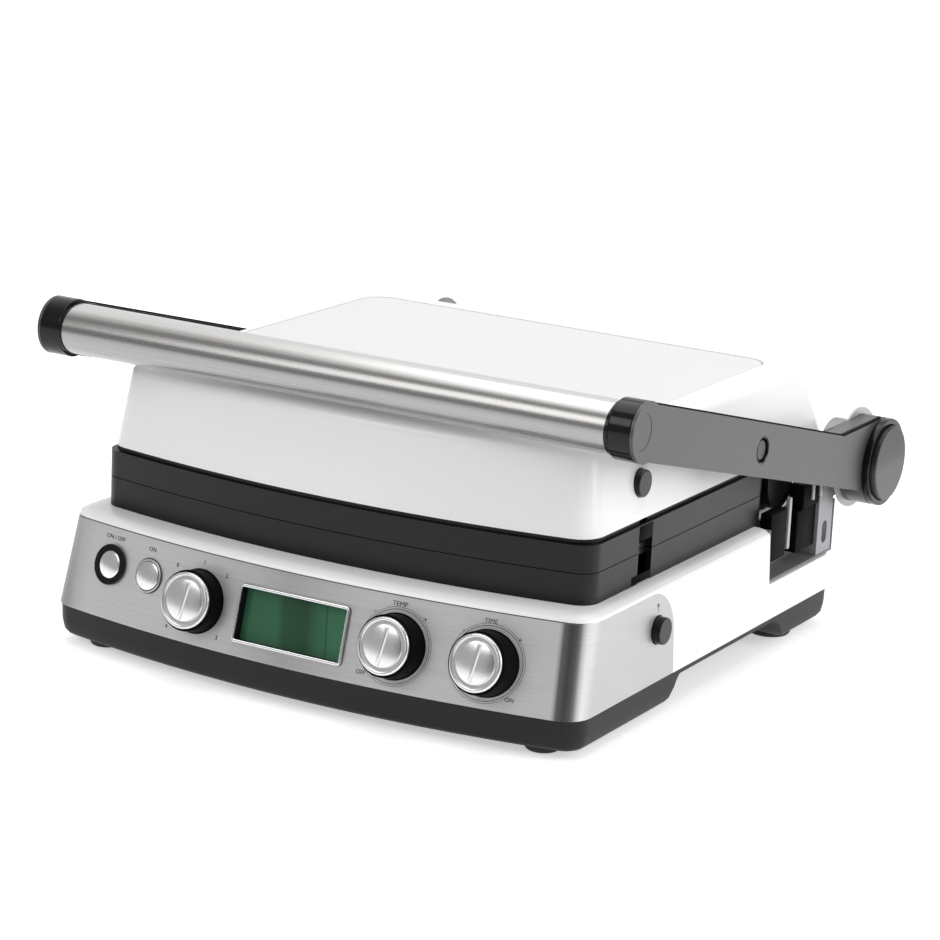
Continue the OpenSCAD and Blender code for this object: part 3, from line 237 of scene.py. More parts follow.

# %% [markdown]
# ## Painted light along one axis
# Bent metal mirrors a whole room, bright at one place and dark at the next, and a studio
# of three lamps is too plain to give all of it. Four finishes therefore get painted light:
# a colour ramp along one axis, made of pairs of a place in millimetres and a tone. A slant
# moves the tones sideways with the height above a level, because the front leans. The
# steel gets a painted dull reflection behind the display and a painted dark reflection on
# its rounded corner, the tube a painted highlight on top, the hub caps painted shade that
# darkens upwards, and the display a painted soft bright and dark reflection band.


# %% Helpers: painted light along an axis
# A ramp of painted light and shade that multiplies a finish's colour along one axis.
def painted_light_along_axis(name, axis, stops, slant=0.0, level=0.0):
    group, _, result = new_group(name, [], [("Tone", "NodeSocketFloat")])
    low, high = stops[0][0], stops[-1][0]
    place = group.nodes.new("ShaderNodeTexCoord")
    parts = group.nodes.new("ShaderNodeSeparateXYZ")
    group.links.new(place.outputs["Object"], parts.inputs[0])
    height = add_math(group, "SUBTRACT", parts.outputs["Z"], level * MM)
    lift = add_math(group, "MULTIPLY", height, slant)
    leaning = add_math(group, "ADD", parts.outputs[axis], lift)
    start = add_math(group, "SUBTRACT", leaning, low * MM)
    along = add_math(group, "DIVIDE", start, (high - low) * MM)
    ramp = group.nodes.new("ShaderNodeValToRGB")
    group.links.new(along, ramp.inputs["Fac"])
    elements = ramp.color_ramp.elements
    while len(elements) < len(stops):
        elements.new(0.5)
    for element, (at, tone) in zip(elements, stops):
        element.position = (at - low) / (high - low)
        element.color = (tone, tone, tone, 1)
    group.links.new(ramp.outputs["Color"], result.inputs["Tone"])
    print("tones", name, "from", low, "to", high)
    return group


# Multiplies a finish's base colour by a ramp of painted light and shade.
def add_painted_light(material, group):
    tree = material.node_tree
    tones = tree.nodes.new("ShaderNodeGroup")
    tones.node_tree = group
    toned = add_tint(tree, tones.outputs["Tone"])
    tree.links.new(tree.nodes["tint"].outputs["Result"], toned.inputs["A"])
    tree.links.new(toned.outputs["Result"], tree.nodes["Principled BSDF"].inputs["Base Color"])


# %% Painted light on the steel, the tube, the hub caps and the display
# Painted reflection on the steel: dull behind the display, a dark band on the rounded corner and a bright
# band beside it.
steel_painted_reflection = [
    (-176, 0.45), (-168, 0.45), (-160, 0.7), (-150, 0.8), (-60, 0.78), (-30, 0.66), (-6, 0.54), (12, 0.6),
    (50, 0.76), (156, 0.86), (158, 0.22), (162, 0.1), (166, 0.16), (168.5, 0.8), (171, 0.66), (176, 0.68),
]
# Painted highlight along the top of the tube, with a painted darker reflection below it.
tube_painted_highlight = [(162, 0.7), (172, 0.62), (184, 0.5), (192, 0.55), (195.5, 1.0), (200, 1.0)]
# Painted shade on the hub caps, darker towards the top.
hub_painted_shade = [(74, 1.1), (100, 1.0), (106, 0.5), (114, 0.3), (132, 0.3)]
# Painted reflection on the display: a soft bright and dark band across its face.
display_painted_reflection = [
    (-38, 0.78), (-14, 0.84), (-9, 0.5), (6, 0.42), (12, 0.75), (18, 0.86), (19, 0.5), (20, 0.95), (38, 1.25),
]
add_painted_light(steel_front, painted_light_along_axis("steel_painted_reflection", "X", steel_painted_reflection, slant=0.08, level=70))
add_painted_light(steel_tube, painted_light_along_axis("tube_painted_highlight", "Z", tube_painted_highlight))
add_painted_light(hub_grey, painted_light_along_axis("hub_painted_shade", "Z", hub_painted_shade))
add_painted_light(display_green, painted_light_along_axis("display_painted_reflection", "X", display_painted_reflection, slant=0.15, level=46))

# %% A finish for every solid
finishes = {
    white_paint: ["lid_shell"],
    white_plastic: ["base_shell"],
    panel_paint: ["lid_top_panel"],
    steel_front: ["control_fascia"],
    steel_tube: ["handle_tube"],
    chrome: ["lcd_bezel"],
    satin_chrome: ["function_cap", "temperature_cap", "timer_cap", "power_key", "mode_key", "mode_key_ring"],
    grey_satin: ["arm_left", "arm_right", "handle_screw_covers"],
    hub_grey: ["hub_cap_left", "hinge_release_button"],
    hinge_grey: ["hinge_bracket_left", "hinge_bracket_right"],
    black_gloss: ["handle_cap_left", "handle_cap_right", "hub_rings", "power_key_ring",
                  "lower_release_button", "upper_release_button"],
    black_matte: ["arm_liners", "lid_frame", "lid_pivots", "lower_latch", "upper_latch",
                  "lower_latch_bracket", "key_switches", "cord_gland", "drip_tray"],
    skirt_black: ["function_skirt", "temperature_skirt", "timer_skirt"],
    flange_grey: ["hub_flanges"],
    tray_grey: ["bottom_tray"],
    plate_black: ["lower_plate", "upper_plate"],
    well_grey: ["hinge_well_liners", "lid_wire_grommet"],
    rubber: ["feet"],
    plain_steel: ["hinge_pins", "base_screws", "function_shaft", "temperature_shaft", "timer_shaft",
                  "encoder_bodies"],
    dark_screw: ["pivot_screws"],
    sheet_metal: ["lower_reflector", "upper_reflector", "lower_sensor"],
    heater_steel: ["lower_heater", "upper_heater"],
    board_green: ["control_board", "power_board"],
    display_green: ["lcd_module", "lcd_window"],
}
for material, names in finishes.items():
    for name in names:
        nodes[name].data.materials.clear()
        nodes[name].data.materials.append(material)
print("finishes on", sum(len(names) for names in finishes.values()), "of", len(nodes), "nodes")

# %% [markdown]
# ## Softened edges on the solids
# CAD edges are perfectly sharp, but every real edge is slightly round and catches a thin
# highlight. The solids' meshes are never changed, so modifiers do the work: a small node
# tree joins the loose triangles, a Decimate turns flat patches back into whole faces, a
# Bevel rounds the sharp edges, and a second tree smooths the shading across edges that
# bend less than a limit. A Weighted Normal modifier comes last and lets the large faces
# set the shading, so that a flat side looks flat right up to its rounded edge.

# %% Helpers: join, bevel and smooth
join_distance = 0.00001
flat_angle, bevel_angle, smooth_angle = math.radians(0.4), math.radians(40), math.radians(32)


def geometry_tree(name):
    tree = bpy.data.node_groups.new(name, "GeometryNodeTree")
    tree.interface.new_socket("Geometry", in_out="INPUT", socket_type="NodeSocketGeometry")
    tree.interface.new_socket("Geometry", in_out="OUTPUT", socket_type="NodeSocketGeometry")
    return tree, tree.nodes.new("NodeGroupInput"), tree.nodes.new("NodeGroupOutput")


join_tree, j_in, j_out = geometry_tree("join_triangles")
j_merge = join_tree.nodes.new("GeometryNodeMergeByDistance")
j_merge.inputs["Distance"].default_value = join_distance
join_tree.links.new(j_in.outputs[0], j_merge.inputs["Geometry"])
join_tree.links.new(j_merge.outputs["Geometry"], j_out.inputs[0])

smooth_tree, s_in, s_out = geometry_tree("smooth_shallow_edges")
s_angle = smooth_tree.nodes.new("GeometryNodeInputMeshEdgeAngle")
s_flat = smooth_tree.nodes.new("FunctionNodeCompare")
s_flat.operation = "LESS_THAN"
s_flat.inputs[1].default_value = smooth_angle
s_faces = smooth_tree.nodes.new("GeometryNodeSetShadeSmooth")
s_faces.domain = "FACE"
s_edges = smooth_tree.nodes.new("GeometryNodeSetShadeSmooth")
s_edges.domain = "EDGE"
smooth_tree.links.new(s_angle.outputs["Unsigned Angle"], s_flat.inputs[0])
smooth_tree.links.new(s_in.outputs[0], s_faces.inputs["Geometry"])
smooth_tree.links.new(s_faces.outputs[0], s_edges.inputs["Geometry"])
smooth_tree.links.new(s_flat.outputs[0], s_edges.inputs["Shade Smooth"])
smooth_tree.links.new(s_edges.outputs[0], s_out.inputs[0])


def soften(name, width):
    piece = nodes[name]
    joined = piece.modifiers.new("join", "NODES")
    joined.node_group = join_tree
    if width > 0:
        flat = piece.modifiers.new("flat", "DECIMATE")
        flat.decimate_type = "DISSOLVE"
        flat.angle_limit = flat_angle
        bevel = piece.modifiers.new("bevel", "BEVEL")
        bevel.width = width * MM
        bevel.segments = 2
        bevel.limit_method = "ANGLE"
        bevel.angle_limit = bevel_angle
    smooth = piece.modifiers.new("smooth", "NODES")
    smooth.node_group = smooth_tree
    if width > 0:
        weighted = piece.modifiers.new("weighted", "WEIGHTED_NORMAL")
        weighted.keep_sharp = True


# %% Edge widths in millimetres
edge_radius = {
    "arm_left": 1.3, "arm_right": 1.3, "handle_cap_left": 2.0, "handle_cap_right": 2.0,
    "hub_rings": 0.8, "hub_cap_left": 1.2, "hinge_release_button": 1.2, "hub_flanges": 0.4,
    "function_skirt": 0.5, "temperature_skirt": 0.5, "timer_skirt": 0.5, "mode_key": 0.4,
    "power_key": 0.4, "power_key_ring": 0.5, "mode_key_ring": 0.4, "lower_release_button": 0.9,
    "upper_release_button": 0.9, "control_fascia": 0.3, "bottom_tray": 0.4, "feet": 0.4,
    "drip_tray": 0.5, "hinge_bracket_left": 0.6, "hinge_bracket_right": 0.6, "cord_gland": 0.6,
    "lower_plate": 0.6, "upper_plate": 0.6, "lid_top_panel": 0.3, "hinge_well_liners": 0.3,
}
for name in nodes:
    soften(name, edge_radius.get(name, 0.0))
print("edges rounded on", len(edge_radius), "nodes")

# %% [markdown]
# ## Helpers for the new pieces
# Every new piece is shaped in millimetres in a bmesh, moved to its place, scaled to
# metres and given to the body that carries it.

# %% Helpers for pieces
weld_distance = 0.0001
sharp_angle = math.radians(35)


def weld(shape):
    bmesh.ops.remove_doubles(shape, verts=shape.verts[:], dist=weld_distance)


def add_piece(name, shape, material, body, replaced=()):
    weld(shape)
    bmesh.ops.recalc_face_normals(shape, faces=shape.faces[:])
    shape.transform(Matrix.Scale(MM, 4))
    data = bpy.data.meshes.new(name)
    shape.to_mesh(data)
    shape.free()
    data.materials.append(material)
    data.shade_smooth()
    data.set_sharp_from_angle(angle=sharp_angle)
    piece = bpy.data.objects.new(name, data)
    scene.collection.objects.link(piece)
    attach(piece, body)
    if replaced:
        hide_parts(*replaced)
    print(name, len(data.polygons), "faces on", body)
    return piece


def gather(whole, part):
    scrap = bpy.data.meshes.new("scrap")
    part.to_mesh(scrap)
    whole.from_mesh(scrap)
    part.free()
    bpy.data.meshes.remove(scrap)


def revolve(profile, steps=96):
    shape = bmesh.new()
    points = [shape.verts.new((r, 0, z)) for r, z in profile]
    edges = [shape.edges.new(pair) for pair in zip(points, points[1:])]
    bmesh.ops.spin(shape, geom=points + edges, cent=(0, 0, 0), axis=(0, 0, 1),
                   angle=2 * math.pi, steps=steps, use_merge=True)
    weld(shape)
    return shape


def soft_bar(length, width, height, radius, segments=3):
    shape = bmesh.new()
    bmesh.ops.create_cube(shape, size=1)
    bmesh.ops.scale(shape, vec=(length, width, height), verts=shape.verts[:])
    bmesh.ops.bevel(shape, geom=shape.edges[:], offset=radius, segments=segments, profile=0.5,
                    affect="EDGES", material=-1)
    return shape


def thicken(shape, depth):
    made = bmesh.ops.extrude_face_region(shape, geom=shape.faces[:], use_keep_orig=True)
    moved = [item for item in made["geom"] if isinstance(item, bmesh.types.BMVert)]
    bmesh.ops.translate(shape, vec=(0, 0, -depth), verts=moved)


def box_middle(low, high):
    return [(a + b) / 2 / MM for a, b in zip(low, high)]


# %% [markdown]
# ## The bowed, leaning front
# The knobs, keys and legends stand on a steel sheet that bows out and leans back. These
# functions give its place for any point: x to the side and h up from its foot. They use
# the same circle and the same lean as the CAD, and read the foot and the tip of the bow
# from the solid's own box.

# %% The front as a surface
front_low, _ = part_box("control_fascia")
z_base = front_low[2] / MM
y_tip = front_low[1] / MM
base_half, front_bow, front_height = 175.0, 19.0, 51.0
front_lean, side_lean = 14.0, 2.5
lean = math.atan(front_lean / front_height)
knob_height = 23.8
print("foot of the front", round(z_base, 2), "tip of the bow", round(y_tip, 2))


def bow_radius(h):
    half = base_half - side_lean * h / front_height
    return (half * half + front_bow * front_bow) / (2 * front_bow)


def front_y(x, h):
    radius = bow_radius(h)
    return y_tip + front_lean * h / front_height + radius - math.sqrt(radius * radius - x * x)


def front_out(x, h):
    turn = math.asin(x / bow_radius(h))
    return Vector((math.sin(turn) * math.cos(lean), -math.cos(turn) * math.cos(lean), math.sin(lean)))


def lay_on_front(shape, x0, h0, proud=0.05):
    for vert in shape.verts:
        x, h = x0 + vert.co.x, h0 + vert.co.y * math.cos(lean)
        at = Vector((x, front_y(x, h), z_base + h))
        vert.co = at + front_out(x, h) * (proud + vert.co.z)


def knob_place(x):
    at = Vector((x, front_y(x, knob_height), z_base + knob_height))
    return Matrix.Translation(at) @ Matrix.Rotation(math.pi / 2 - lean, 4, "X")


# %% [markdown]
# ## Knob caps
# Each knob has a polished cap on a black skirt: a rounded rim, a sunken ring, a disc and
# a raised grip that points at the setting. On the real knob it is one plated moulding.
# A profile spun round the axis gives the cap, with corners rounded in small steps, and a
# bevelled bar gives the grip, so the reflections run over soft edges.

# %% Knob caps
knobs = {"function": -66.0, "temperature": 64.8, "timer": 119.0}
cap_radius, cap_foot, cap_top = 16.0, 11.2, 13.3
groove_outer, groove_inner, groove_floor = 14.1, 11.7, 12.2
cap_profile = [
    (0, cap_foot), (cap_radius - 0.3, cap_foot), (cap_radius, cap_foot + 0.3), (cap_radius, cap_top - 0.9),
    (cap_radius - 0.12, cap_top - 0.45), (cap_radius - 0.45, cap_top - 0.12), (cap_radius - 0.9, cap_top),
    (groove_outer + 0.3, cap_top), (groove_outer + 0.08, cap_top - 0.1), (groove_outer, cap_top - 0.35),
    (groove_outer - 0.1, groove_floor + 0.2), (groove_outer - 0.35, groove_floor),
    (groove_inner + 0.35, groove_floor), (groove_inner + 0.1, groove_floor + 0.2),
    (groove_inner, cap_top - 0.35), (groove_inner - 0.1, cap_top - 0.1), (groove_inner - 0.35, cap_top),
    (0, cap_top + 0.15),
]
grip_length, grip_width, grip_height = 2 * groove_inner - 1.2, 3.4, 2.4
grip_edge, grip_taper, grip_angle = 0.7, 0.6, math.radians(83)
for name, x in knobs.items():
    cap = revolve(cap_profile)
    grip = soft_bar(grip_length, grip_width, grip_height, grip_edge)
    for vert in grip.verts:
        if vert.co.z > 0:
            vert.co.y *= grip_taper
    grip.transform(Matrix.Rotation(grip_angle, 4, "Z") @ Matrix.Translation((0, 0, cap_top)))
    gather(cap, grip)
    cap.transform(knob_place(x))
    add_piece(name + "_chrome_cap", cap, satin_chrome, name + "_knob", [name + "_cap"])

# %% [markdown]
# ## Display frame
# The display sits deep behind a thin bright frame, and the walls of the recess are
# black. The frame starts as one flat face with rounded corners. An inset turns it into a
# ring, which is given a thickness and a small bevel. The same ring, deeper, makes the
# lining.

# %% Helper: a ring with rounded corners
def rounded_ring(width, height, corner, wall, depth):
    shape = bmesh.new()
    bmesh.ops.create_grid(shape, x_segments=1, y_segments=1, size=0.5)
    bmesh.ops.scale(shape, vec=(width, height, 1), verts=shape.verts[:])
    bmesh.ops.bevel(shape, geom=shape.verts[:], offset=corner, segments=6, profile=0.5,
                    affect="VERTICES", material=-1)
    middle = shape.faces[:]
    bmesh.ops.inset_region(shape, faces=middle, thickness=wall, depth=0, use_boundary=True,
                           use_even_offset=True)
    bmesh.ops.delete(shape, geom=middle, context="FACES")
    thicken(shape, depth)
    return shape


# %% Display frame and lining
display_x, display_width, display_height = -1.2, 72.5, 33.0
frame_corner, frame_wall, frame_depth, frame_edge, frame_rise = 2.6, 1.6, 0.9, 0.35, 1.0
lining_gap, lining_corner, lining_wall, lining_depth, lining_rise = 1.4, 2.0, 1.0, 6.0, 0.3
display_place = knob_place(display_x)
display_frame = rounded_ring(display_width, display_height, frame_corner, frame_wall, frame_depth)
top_edges = [edge for edge in display_frame.edges
             if all(vert.co.z > -0.01 for vert in edge.verts) and edge.calc_face_angle(0) > 1]
bmesh.ops.bevel(display_frame, geom=top_edges, offset=frame_edge, segments=2, profile=0.5,
                affect="EDGES", material=-1)
display_frame.transform(display_place @ Matrix.Translation((0, 0, frame_rise)))
add_piece("display_frame", display_frame, satin_chrome, "base", ["lcd_bezel"])
display_lining = rounded_ring(display_width - lining_gap, display_height - lining_gap, lining_corner,
                              lining_wall, lining_depth)
display_lining.transform(display_place @ Matrix.Translation((0, 0, lining_rise)))
add_piece("display_lining", display_lining, black_matte, "base")

# %% [markdown]
# ## Printed legends
# Small grey words, signs and etched rings are printed on the steel. Text is turned into
# a mesh first, because a curve can't be laid on a bowed sheet. Each point is then moved
# onto the front, a twentieth of a millimetre proud of it. A capital letter fills only a
# share of the font's size, so the size comes from the letter's height and that share.

# %% Helpers for print
capital_share = 0.72


def lettering(word, height):
    curve = bpy.data.curves.new("word", "FONT")
    curve.body = word
    curve.size = height / capital_share
    curve.align_x = "CENTER"
    curve.align_y = "CENTER"
    curve.resolution_u = 3
    holder = bpy.data.objects.new("word", curve)
    scene.collection.objects.link(holder)
    bpy.context.view_layer.update()
    words = bpy.data.meshes.new_from_object(holder.evaluated_get(bpy.context.evaluated_depsgraph_get()))
    bpy.data.objects.remove(holder)
    shape = bmesh.new()
    shape.from_mesh(words)
    bpy.data.meshes.remove(words)
    weld(shape)
    return shape


def flat_ring(radius, width, segments=96):
    shape = bmesh.new()
    inner = bmesh.ops.create_circle(shape, segments=segments, radius=radius)["verts"]
    rim = list({edge for vert in inner for edge in vert.link_edges})
    made = bmesh.ops.extrude_edge_only(shape, edges=rim)
    outer = [item for item in made["geom"] if isinstance(item, bmesh.types.BMVert)]
    bmesh.ops.scale(shape, vec=[(radius + width) / radius] * 2 + [1], verts=outer)
    return shape


# %% Legends and rings
print_depth = 0.06
small, plain, large, sign_height = 2.4, 2.6, 2.8, 3.2
legends = [
    ("1", plain, -65.3, 45.3), ("0", plain, -84.0, 40.1), ("2", plain, -48.5, 41.0),
    ("3", plain, -48.4, 7.1), ("4", plain, -84.6, 6.2),
    ("ON", plain, -104.2, 44.6), ("ON / OFF", plain, -133.5, 45.2),
    ("TEMP", large, 63.8, 46.2), ("OFF", small, 47.4, 7.0),
    ("-", sign_height, 49.7, 40.7), ("+", sign_height, 80.1, 40.4),
    ("TIME", plain, 117.5, 45.7), ("ON", small, 135.3, 6.8),
    ("-", sign_height, 103.1, 38.9), ("+", sign_height, 135.2, 38.2),
]
etched_rings = ((20.3, 0.3), (21.6, 0.18))
legend_shape = bmesh.new()
for word, height, x, h in legends:
    sign = lettering(word, height)
    thicken(sign, print_depth)
    lay_on_front(sign, x, h)
    gather(legend_shape, sign)
for x in (knobs["temperature"], knobs["timer"]):
    for radius, width in etched_rings:
        ring = flat_ring(radius, width)
        thicken(ring, print_depth)
        lay_on_front(ring, x, knob_height)
        gather(legend_shape, ring)
add_piece("front_legends", legend_shape, print_grey, "base")

# %% [markdown]
# ## Dark lines on the steel
# A thin dark line runs along the front where the steel meets the rolled rim, and the ring
# of the mode key has a dark outline. Both are gaps on the real front. A gap that thin is
# easier to draw than to cut, so a narrow strip and a flat ring are laid on the front, as
# the print is.

# %% Seam and key outline
seam_length, seam_width, seam_h = 330, 0.6, 50.7
line_depth, seam_rise, outline_rise = 0.12, 0.04, 0.12
outline_width, outline_overlap = 0.75, 0.1
seam = bmesh.new()
bmesh.ops.create_grid(seam, x_segments=80, y_segments=1, size=0.5)
bmesh.ops.scale(seam, vec=(seam_length, seam_width, 1), verts=seam.verts[:])
thicken(seam, line_depth)
lay_on_front(seam, 0, seam_h, seam_rise)
key = "mode_key"
low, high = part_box(key + "_ring")
key_radius = (high[0] - low[0]) / 2 / MM
key_x, _, key_z = box_middle(low, high)
print(key, "ring radius", round(key_radius, 2), "at", round(key_x, 2), round(key_z - z_base, 2))
outline = flat_ring(key_radius - outline_overlap, outline_width)
thicken(outline, line_depth)
lay_on_front(outline, key_x, key_z - z_base, outline_rise)
gather(seam, outline)
add_piece("front_seam", seam, seam_grey, "base")

# %% [markdown]
# ## Handle collars and pivot cups
# Where the steel tube enters each end cap there is a thin black collar, and the screw
# that the lid turns on sits in a black cup in the arm, behind a round grey plug. An oval
# loop of edges pulled along the tube makes the collar. The cup and the plug are spun
# profiles, pairs of a radius and a height above the arm, laid along X.

# %% Places on the arms
tube_low, tube_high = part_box("handle_tube")
arm_low, arm_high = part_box("arm_right")
screw_low, screw_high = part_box("pivot_screws")
_, tube_y, tube_z = box_middle(tube_low, tube_high)
_, pivot_y, pivot_z = box_middle(screw_low, screw_high)
tube_half_depth, tube_half_height = [(tube_high[i] - tube_low[i]) / 2 / MM for i in (1, 2)]
arm_in, arm_out = arm_low[0] / MM, arm_high[0] / MM
print("tube centre", round(tube_y, 2), round(tube_z, 2))
print("arm from", round(arm_in, 2), "to", round(arm_out, 2))


def lay_along_x(shape, x, y, z, side):
    turn = Matrix.Rotation(math.pi / 2 * side, 4, "Y")
    shape.transform(Matrix.Translation((x * side, y, z)) @ turn)


# %% Collars, cups and plugs
collar_sink, collar_width, collar_gap = 0.2, 1.3, 0.3
cup_profile = [
    (4.2, -2.9), (7.6, -2.9), (7.9, -0.1), (7.4, 0.25), (6.9, -0.2), (6.6, -2.2), (4.2, -2.4), (4.2, -2.9),
]
plug_profile = [
    (0, -2.6), (1.5, -2.6), (1.7, -1.2), (5.1, -1.0), (5.5, -1.4), (5.5, -2.4), (2.2, -2.8), (0, -2.8),
]
for side, word in ((1, "right"), (-1, "left")):
    collar = flat_ring(1.0, 0.05, 64)
    bmesh.ops.scale(collar, vec=(tube_half_height - collar_sink, tube_half_depth - collar_sink, 1),
                    verts=collar.verts[:])
    thicken(collar, collar_width)
    lay_along_x(collar, arm_in - collar_gap, tube_y, tube_z, side)
    add_piece("handle_collar_" + word, collar, black_gloss, "handle")
    cup = revolve(cup_profile, 64)
    lay_along_x(cup, arm_out, pivot_y, pivot_z, side)
    add_piece("pivot_cup_" + word, cup, black_gloss, "handle")
    plug = revolve(plug_profile, 48)
    lay_along_x(plug, arm_out, pivot_y, pivot_z, side)
    add_piece("pivot_plug_" + word, plug, grey_satin, "handle")

# %% [markdown]
# ## Trim along the top of each arm
# The liner inside each arm comes up over its top edge, and from the front it reads as a
# dark line from the handle to the hub. The line follows the arm's own outline: the points
# of its outer face above the middle line, without those of the round seats at the pivot,
# the handle and the hub. Each seat is a place on the arm and a radius to keep clear of.

# %% Helper: the arm's top line
hub_low, hub_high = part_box("hub_rings")
_, hub_y, hub_z = box_middle(hub_low, hub_high)
arm_slope = (hub_z - tube_z) / (hub_y - tube_y)
seats = (((pivot_y, pivot_z), 11), ((tube_y - 6, tube_z + 1), 12.5), ((hub_y, hub_z), 26.3))
above_middle, handle_end, face_depth = 4, 9, 0.2


def arm_top_line(arm, face_x):
    line = set()
    for vert in arm.data.vertices:
        x, y, z = vert.co / MM
        clear = all(math.dist((y, z), place) > radius for place, radius in seats)
        above = z > tube_z + arm_slope * (y - tube_y) + above_middle
        if abs(x - face_x) < face_depth and clear and above and tube_y + handle_end < y < hub_y:
            line.add((round(y, 2), round(z, 2)))
    return sorted(line)


# %% Arm trim
trim_insets, trim_rise, trim_height = (2.8, 0.9), 1.0, 1.6
for side, word in ((1, "right"), (-1, "left")):
    line = arm_top_line(nodes["arm_" + word], arm_out * side)
    trim = bmesh.new()
    ends = [[trim.verts.new(((arm_out - inset) * side, y, z + trim_rise)) for inset in trim_insets]
            for y, z in line]
    for a, b in zip(ends, ends[1:]):
        trim.faces.new((a[0], a[1], b[1], b[0]))
    thicken(trim, trim_height)
    print("arm line", len(line), "points")
    add_piece("arm_trim_" + word, trim, skirt_black, "handle")

# %% [markdown]
# ## Hinge wells
# Inside each hinge well stand black blocks and a few pale wire ducts, and a black
# mat covers the deck behind the plates. All are bars with rounded edges. A block is given
# by where it starts and ends along each axis, and a duct by its place, its width and the
# two heights it runs between. Both sides are the same, mirrored.

# %% Well blocks, ducts and mat
well_wall, block_edge = 161, 0.8
block_spans = (
    ((well_wall, 168.5), (71, 93), (55, 85)),
    ((well_wall, 170), (105, 131.5), (54, 80)),
    ((well_wall, 171), (110, 140), (80, 95)),
)
duct_depth, duct_edge = 3, 0.7
ducts_at = ((167, 98, 3, (58, 90)), (171, 122, 2, (84, 94)), (171, 133, 2, (84, 92)))
mat_size, mat_edge, mat_place = (296, 76, 0.8), 0.3, (0, 117, 79.2)


def bar_between(spans, edge, segments=3, side=1):
    size = [high - low for low, high in spans]
    x, y, z = [(low + high) / 2 for low, high in spans]
    shape = soft_bar(*size, edge, segments)
    shape.transform(Matrix.Translation((side * x, y, z)))
    return shape


well_blocks, well_ducts = bmesh.new(), bmesh.new()
for side in (-1, 1):
    for spans in block_spans:
        gather(well_blocks, bar_between(spans, block_edge, side=side))
    for x, y, width, (z0, z1) in ducts_at:
        duct = soft_bar(duct_depth, width, z1 - z0, duct_edge)
        duct.transform(Matrix.Translation((side * x, y, (z0 + z1) / 2)))
        gather(well_ducts, duct)
add_piece("well_blocks", well_blocks, skirt_black, "base")
add_piece("well_ducts", well_ducts, flange_grey, "base")
mat = soft_bar(*mat_size, mat_edge)
mat.transform(Matrix.Translation(mat_place))
add_piece("deck_mat", mat, skirt_black, "base")

# %% [markdown]
# ## Painted shade in the latch slots, and a lifting arrow
# The slot beside each release button is dark with shade up to the edge of its plate, and a
# small arrow on the right side shows which way the lower plate lifts out. Thin black bars
# are painted shade on the slot's walls, and three short bars, two of them turned, make the arrow.

# %% Slots and arrow
slot_span, slot_edge = (160.85, 161.75), 0.2
# Thin black bars as painted shade in the latch slots.
slots = {
    "upper_slot_painted_shade": ("lid", (-87.4, -71.7), (103, 111.6)),
    "lower_slot_painted_shade": ("base", (-94, -71.7), (79.4, 84)),
}
for name, (body, y_span, z_span) in slots.items():
    slot_shade_bar = bar_between((slot_span, y_span, z_span), slot_edge, 2)
    add_piece(name, slot_shade_bar, skirt_black, body)
arrow_y, shaft_z, head_z, arrow_rise = -81.6, 66, 67.7, 0.05
arrow_depth, arrow_width, arrow_edge = 0.12, 0.5, 0.04
arrow_bars = ((0, shaft_z, 0, 4.6), (0.75, head_z, 40, 2.0), (-0.75, head_z, -40, 2.0))
arrow = bmesh.new()
for aside, z, turn, length in arrow_bars:
    side_x = base_half - side_lean * (z - z_base) / front_height
    bar = soft_bar(arrow_depth, arrow_width, length, arrow_edge, 1)
    place = Matrix.Translation((side_x + arrow_rise, arrow_y + aside, z))
    bar.transform(place @ Matrix.Rotation(math.radians(turn), 4, "X"))
    gather(arrow, bar)
add_piece("lift_arrow", arrow, seam_grey, "base")

# %% [markdown]
# ## Rear louvres
# A grill with electronics under the deck needs air. Two rows of short louvres stand on the
# rear wall. Each one is a bar with rounded edges, turned a little so that its lower edge
# stands out.

# %% Louvres
_, shell_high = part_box("base_shell")
y_rear = shell_high[1] / MM
louvre_rows, louvre_count, louvre_pitch, first_louvre = (-62, 96), 7, 5.0, 10
louvre_size, louvre_edge, louvre_turn = (34, 2.2, 2.0), 0.7, math.radians(-25)
louvres = bmesh.new()
for x in louvre_rows:
    for i in range(louvre_count):
        h = first_louvre + i * louvre_pitch
        bar = soft_bar(*louvre_size, louvre_edge)
        place = Matrix.Translation((x, y_rear - side_lean * h / front_height, z_base + h))
        bar.transform(place @ Matrix.Rotation(louvre_turn, 4, "X"))
        gather(louvres, bar)
add_piece("rear_louvres", louvres, white_plastic, "base")

# %% [markdown]
# ## The studio
# A pale floor and large soft lights: one above, one in front on the left and one on the
# right. Paper behind a product looks white because it has its own light. The floor gets
# the same help from a glow that only the camera, mirrors and glass see, so it adds no
# light to the object and still shows its shadow. The photographer's side of the room is
# dark, and polished metal shows that as a dark band.


# %% Helpers for the room
def ramp_between(tree, value, low, high):
    node = tree.nodes.new("ShaderNodeMapRange")
    node.interpolation_type = "SMOOTHSTEP"
    node.inputs["From Min"].default_value = low
    node.inputs["From Max"].default_value = high
    tree.links.new(value, node.inputs["Value"])
    return node.outputs["Result"]


def blend_colours(tree, factor, a, b):
    node = tree.nodes.new("ShaderNodeMix")
    node.data_type = "RGBA"
    tree.links.new(factor, node.inputs["Factor"])
    for slot, value in ((node.inputs["A"], a), (node.inputs["B"], b)):
        if isinstance(value, tuple):
            slot.default_value = (*value, 1)
        else:
            tree.links.new(value, slot)
    return node.outputs["Result"]


def seen_directly(tree):
    """Masks of what the camera, mirrors and glass see, and of what only mirrors see."""
    path = tree.nodes.new("ShaderNodeLightPath")
    camera_ray, glass_ray = path.outputs["Is Camera Ray"], path.outputs["Is Transmission Ray"]
    mirror_ray = path.outputs["Is Glossy Ray"]
    seen = add_math(tree, "MAXIMUM", camera_ray, glass_ray)
    return add_math(tree, "MAXIMUM", seen, mirror_ray), mirror_ray


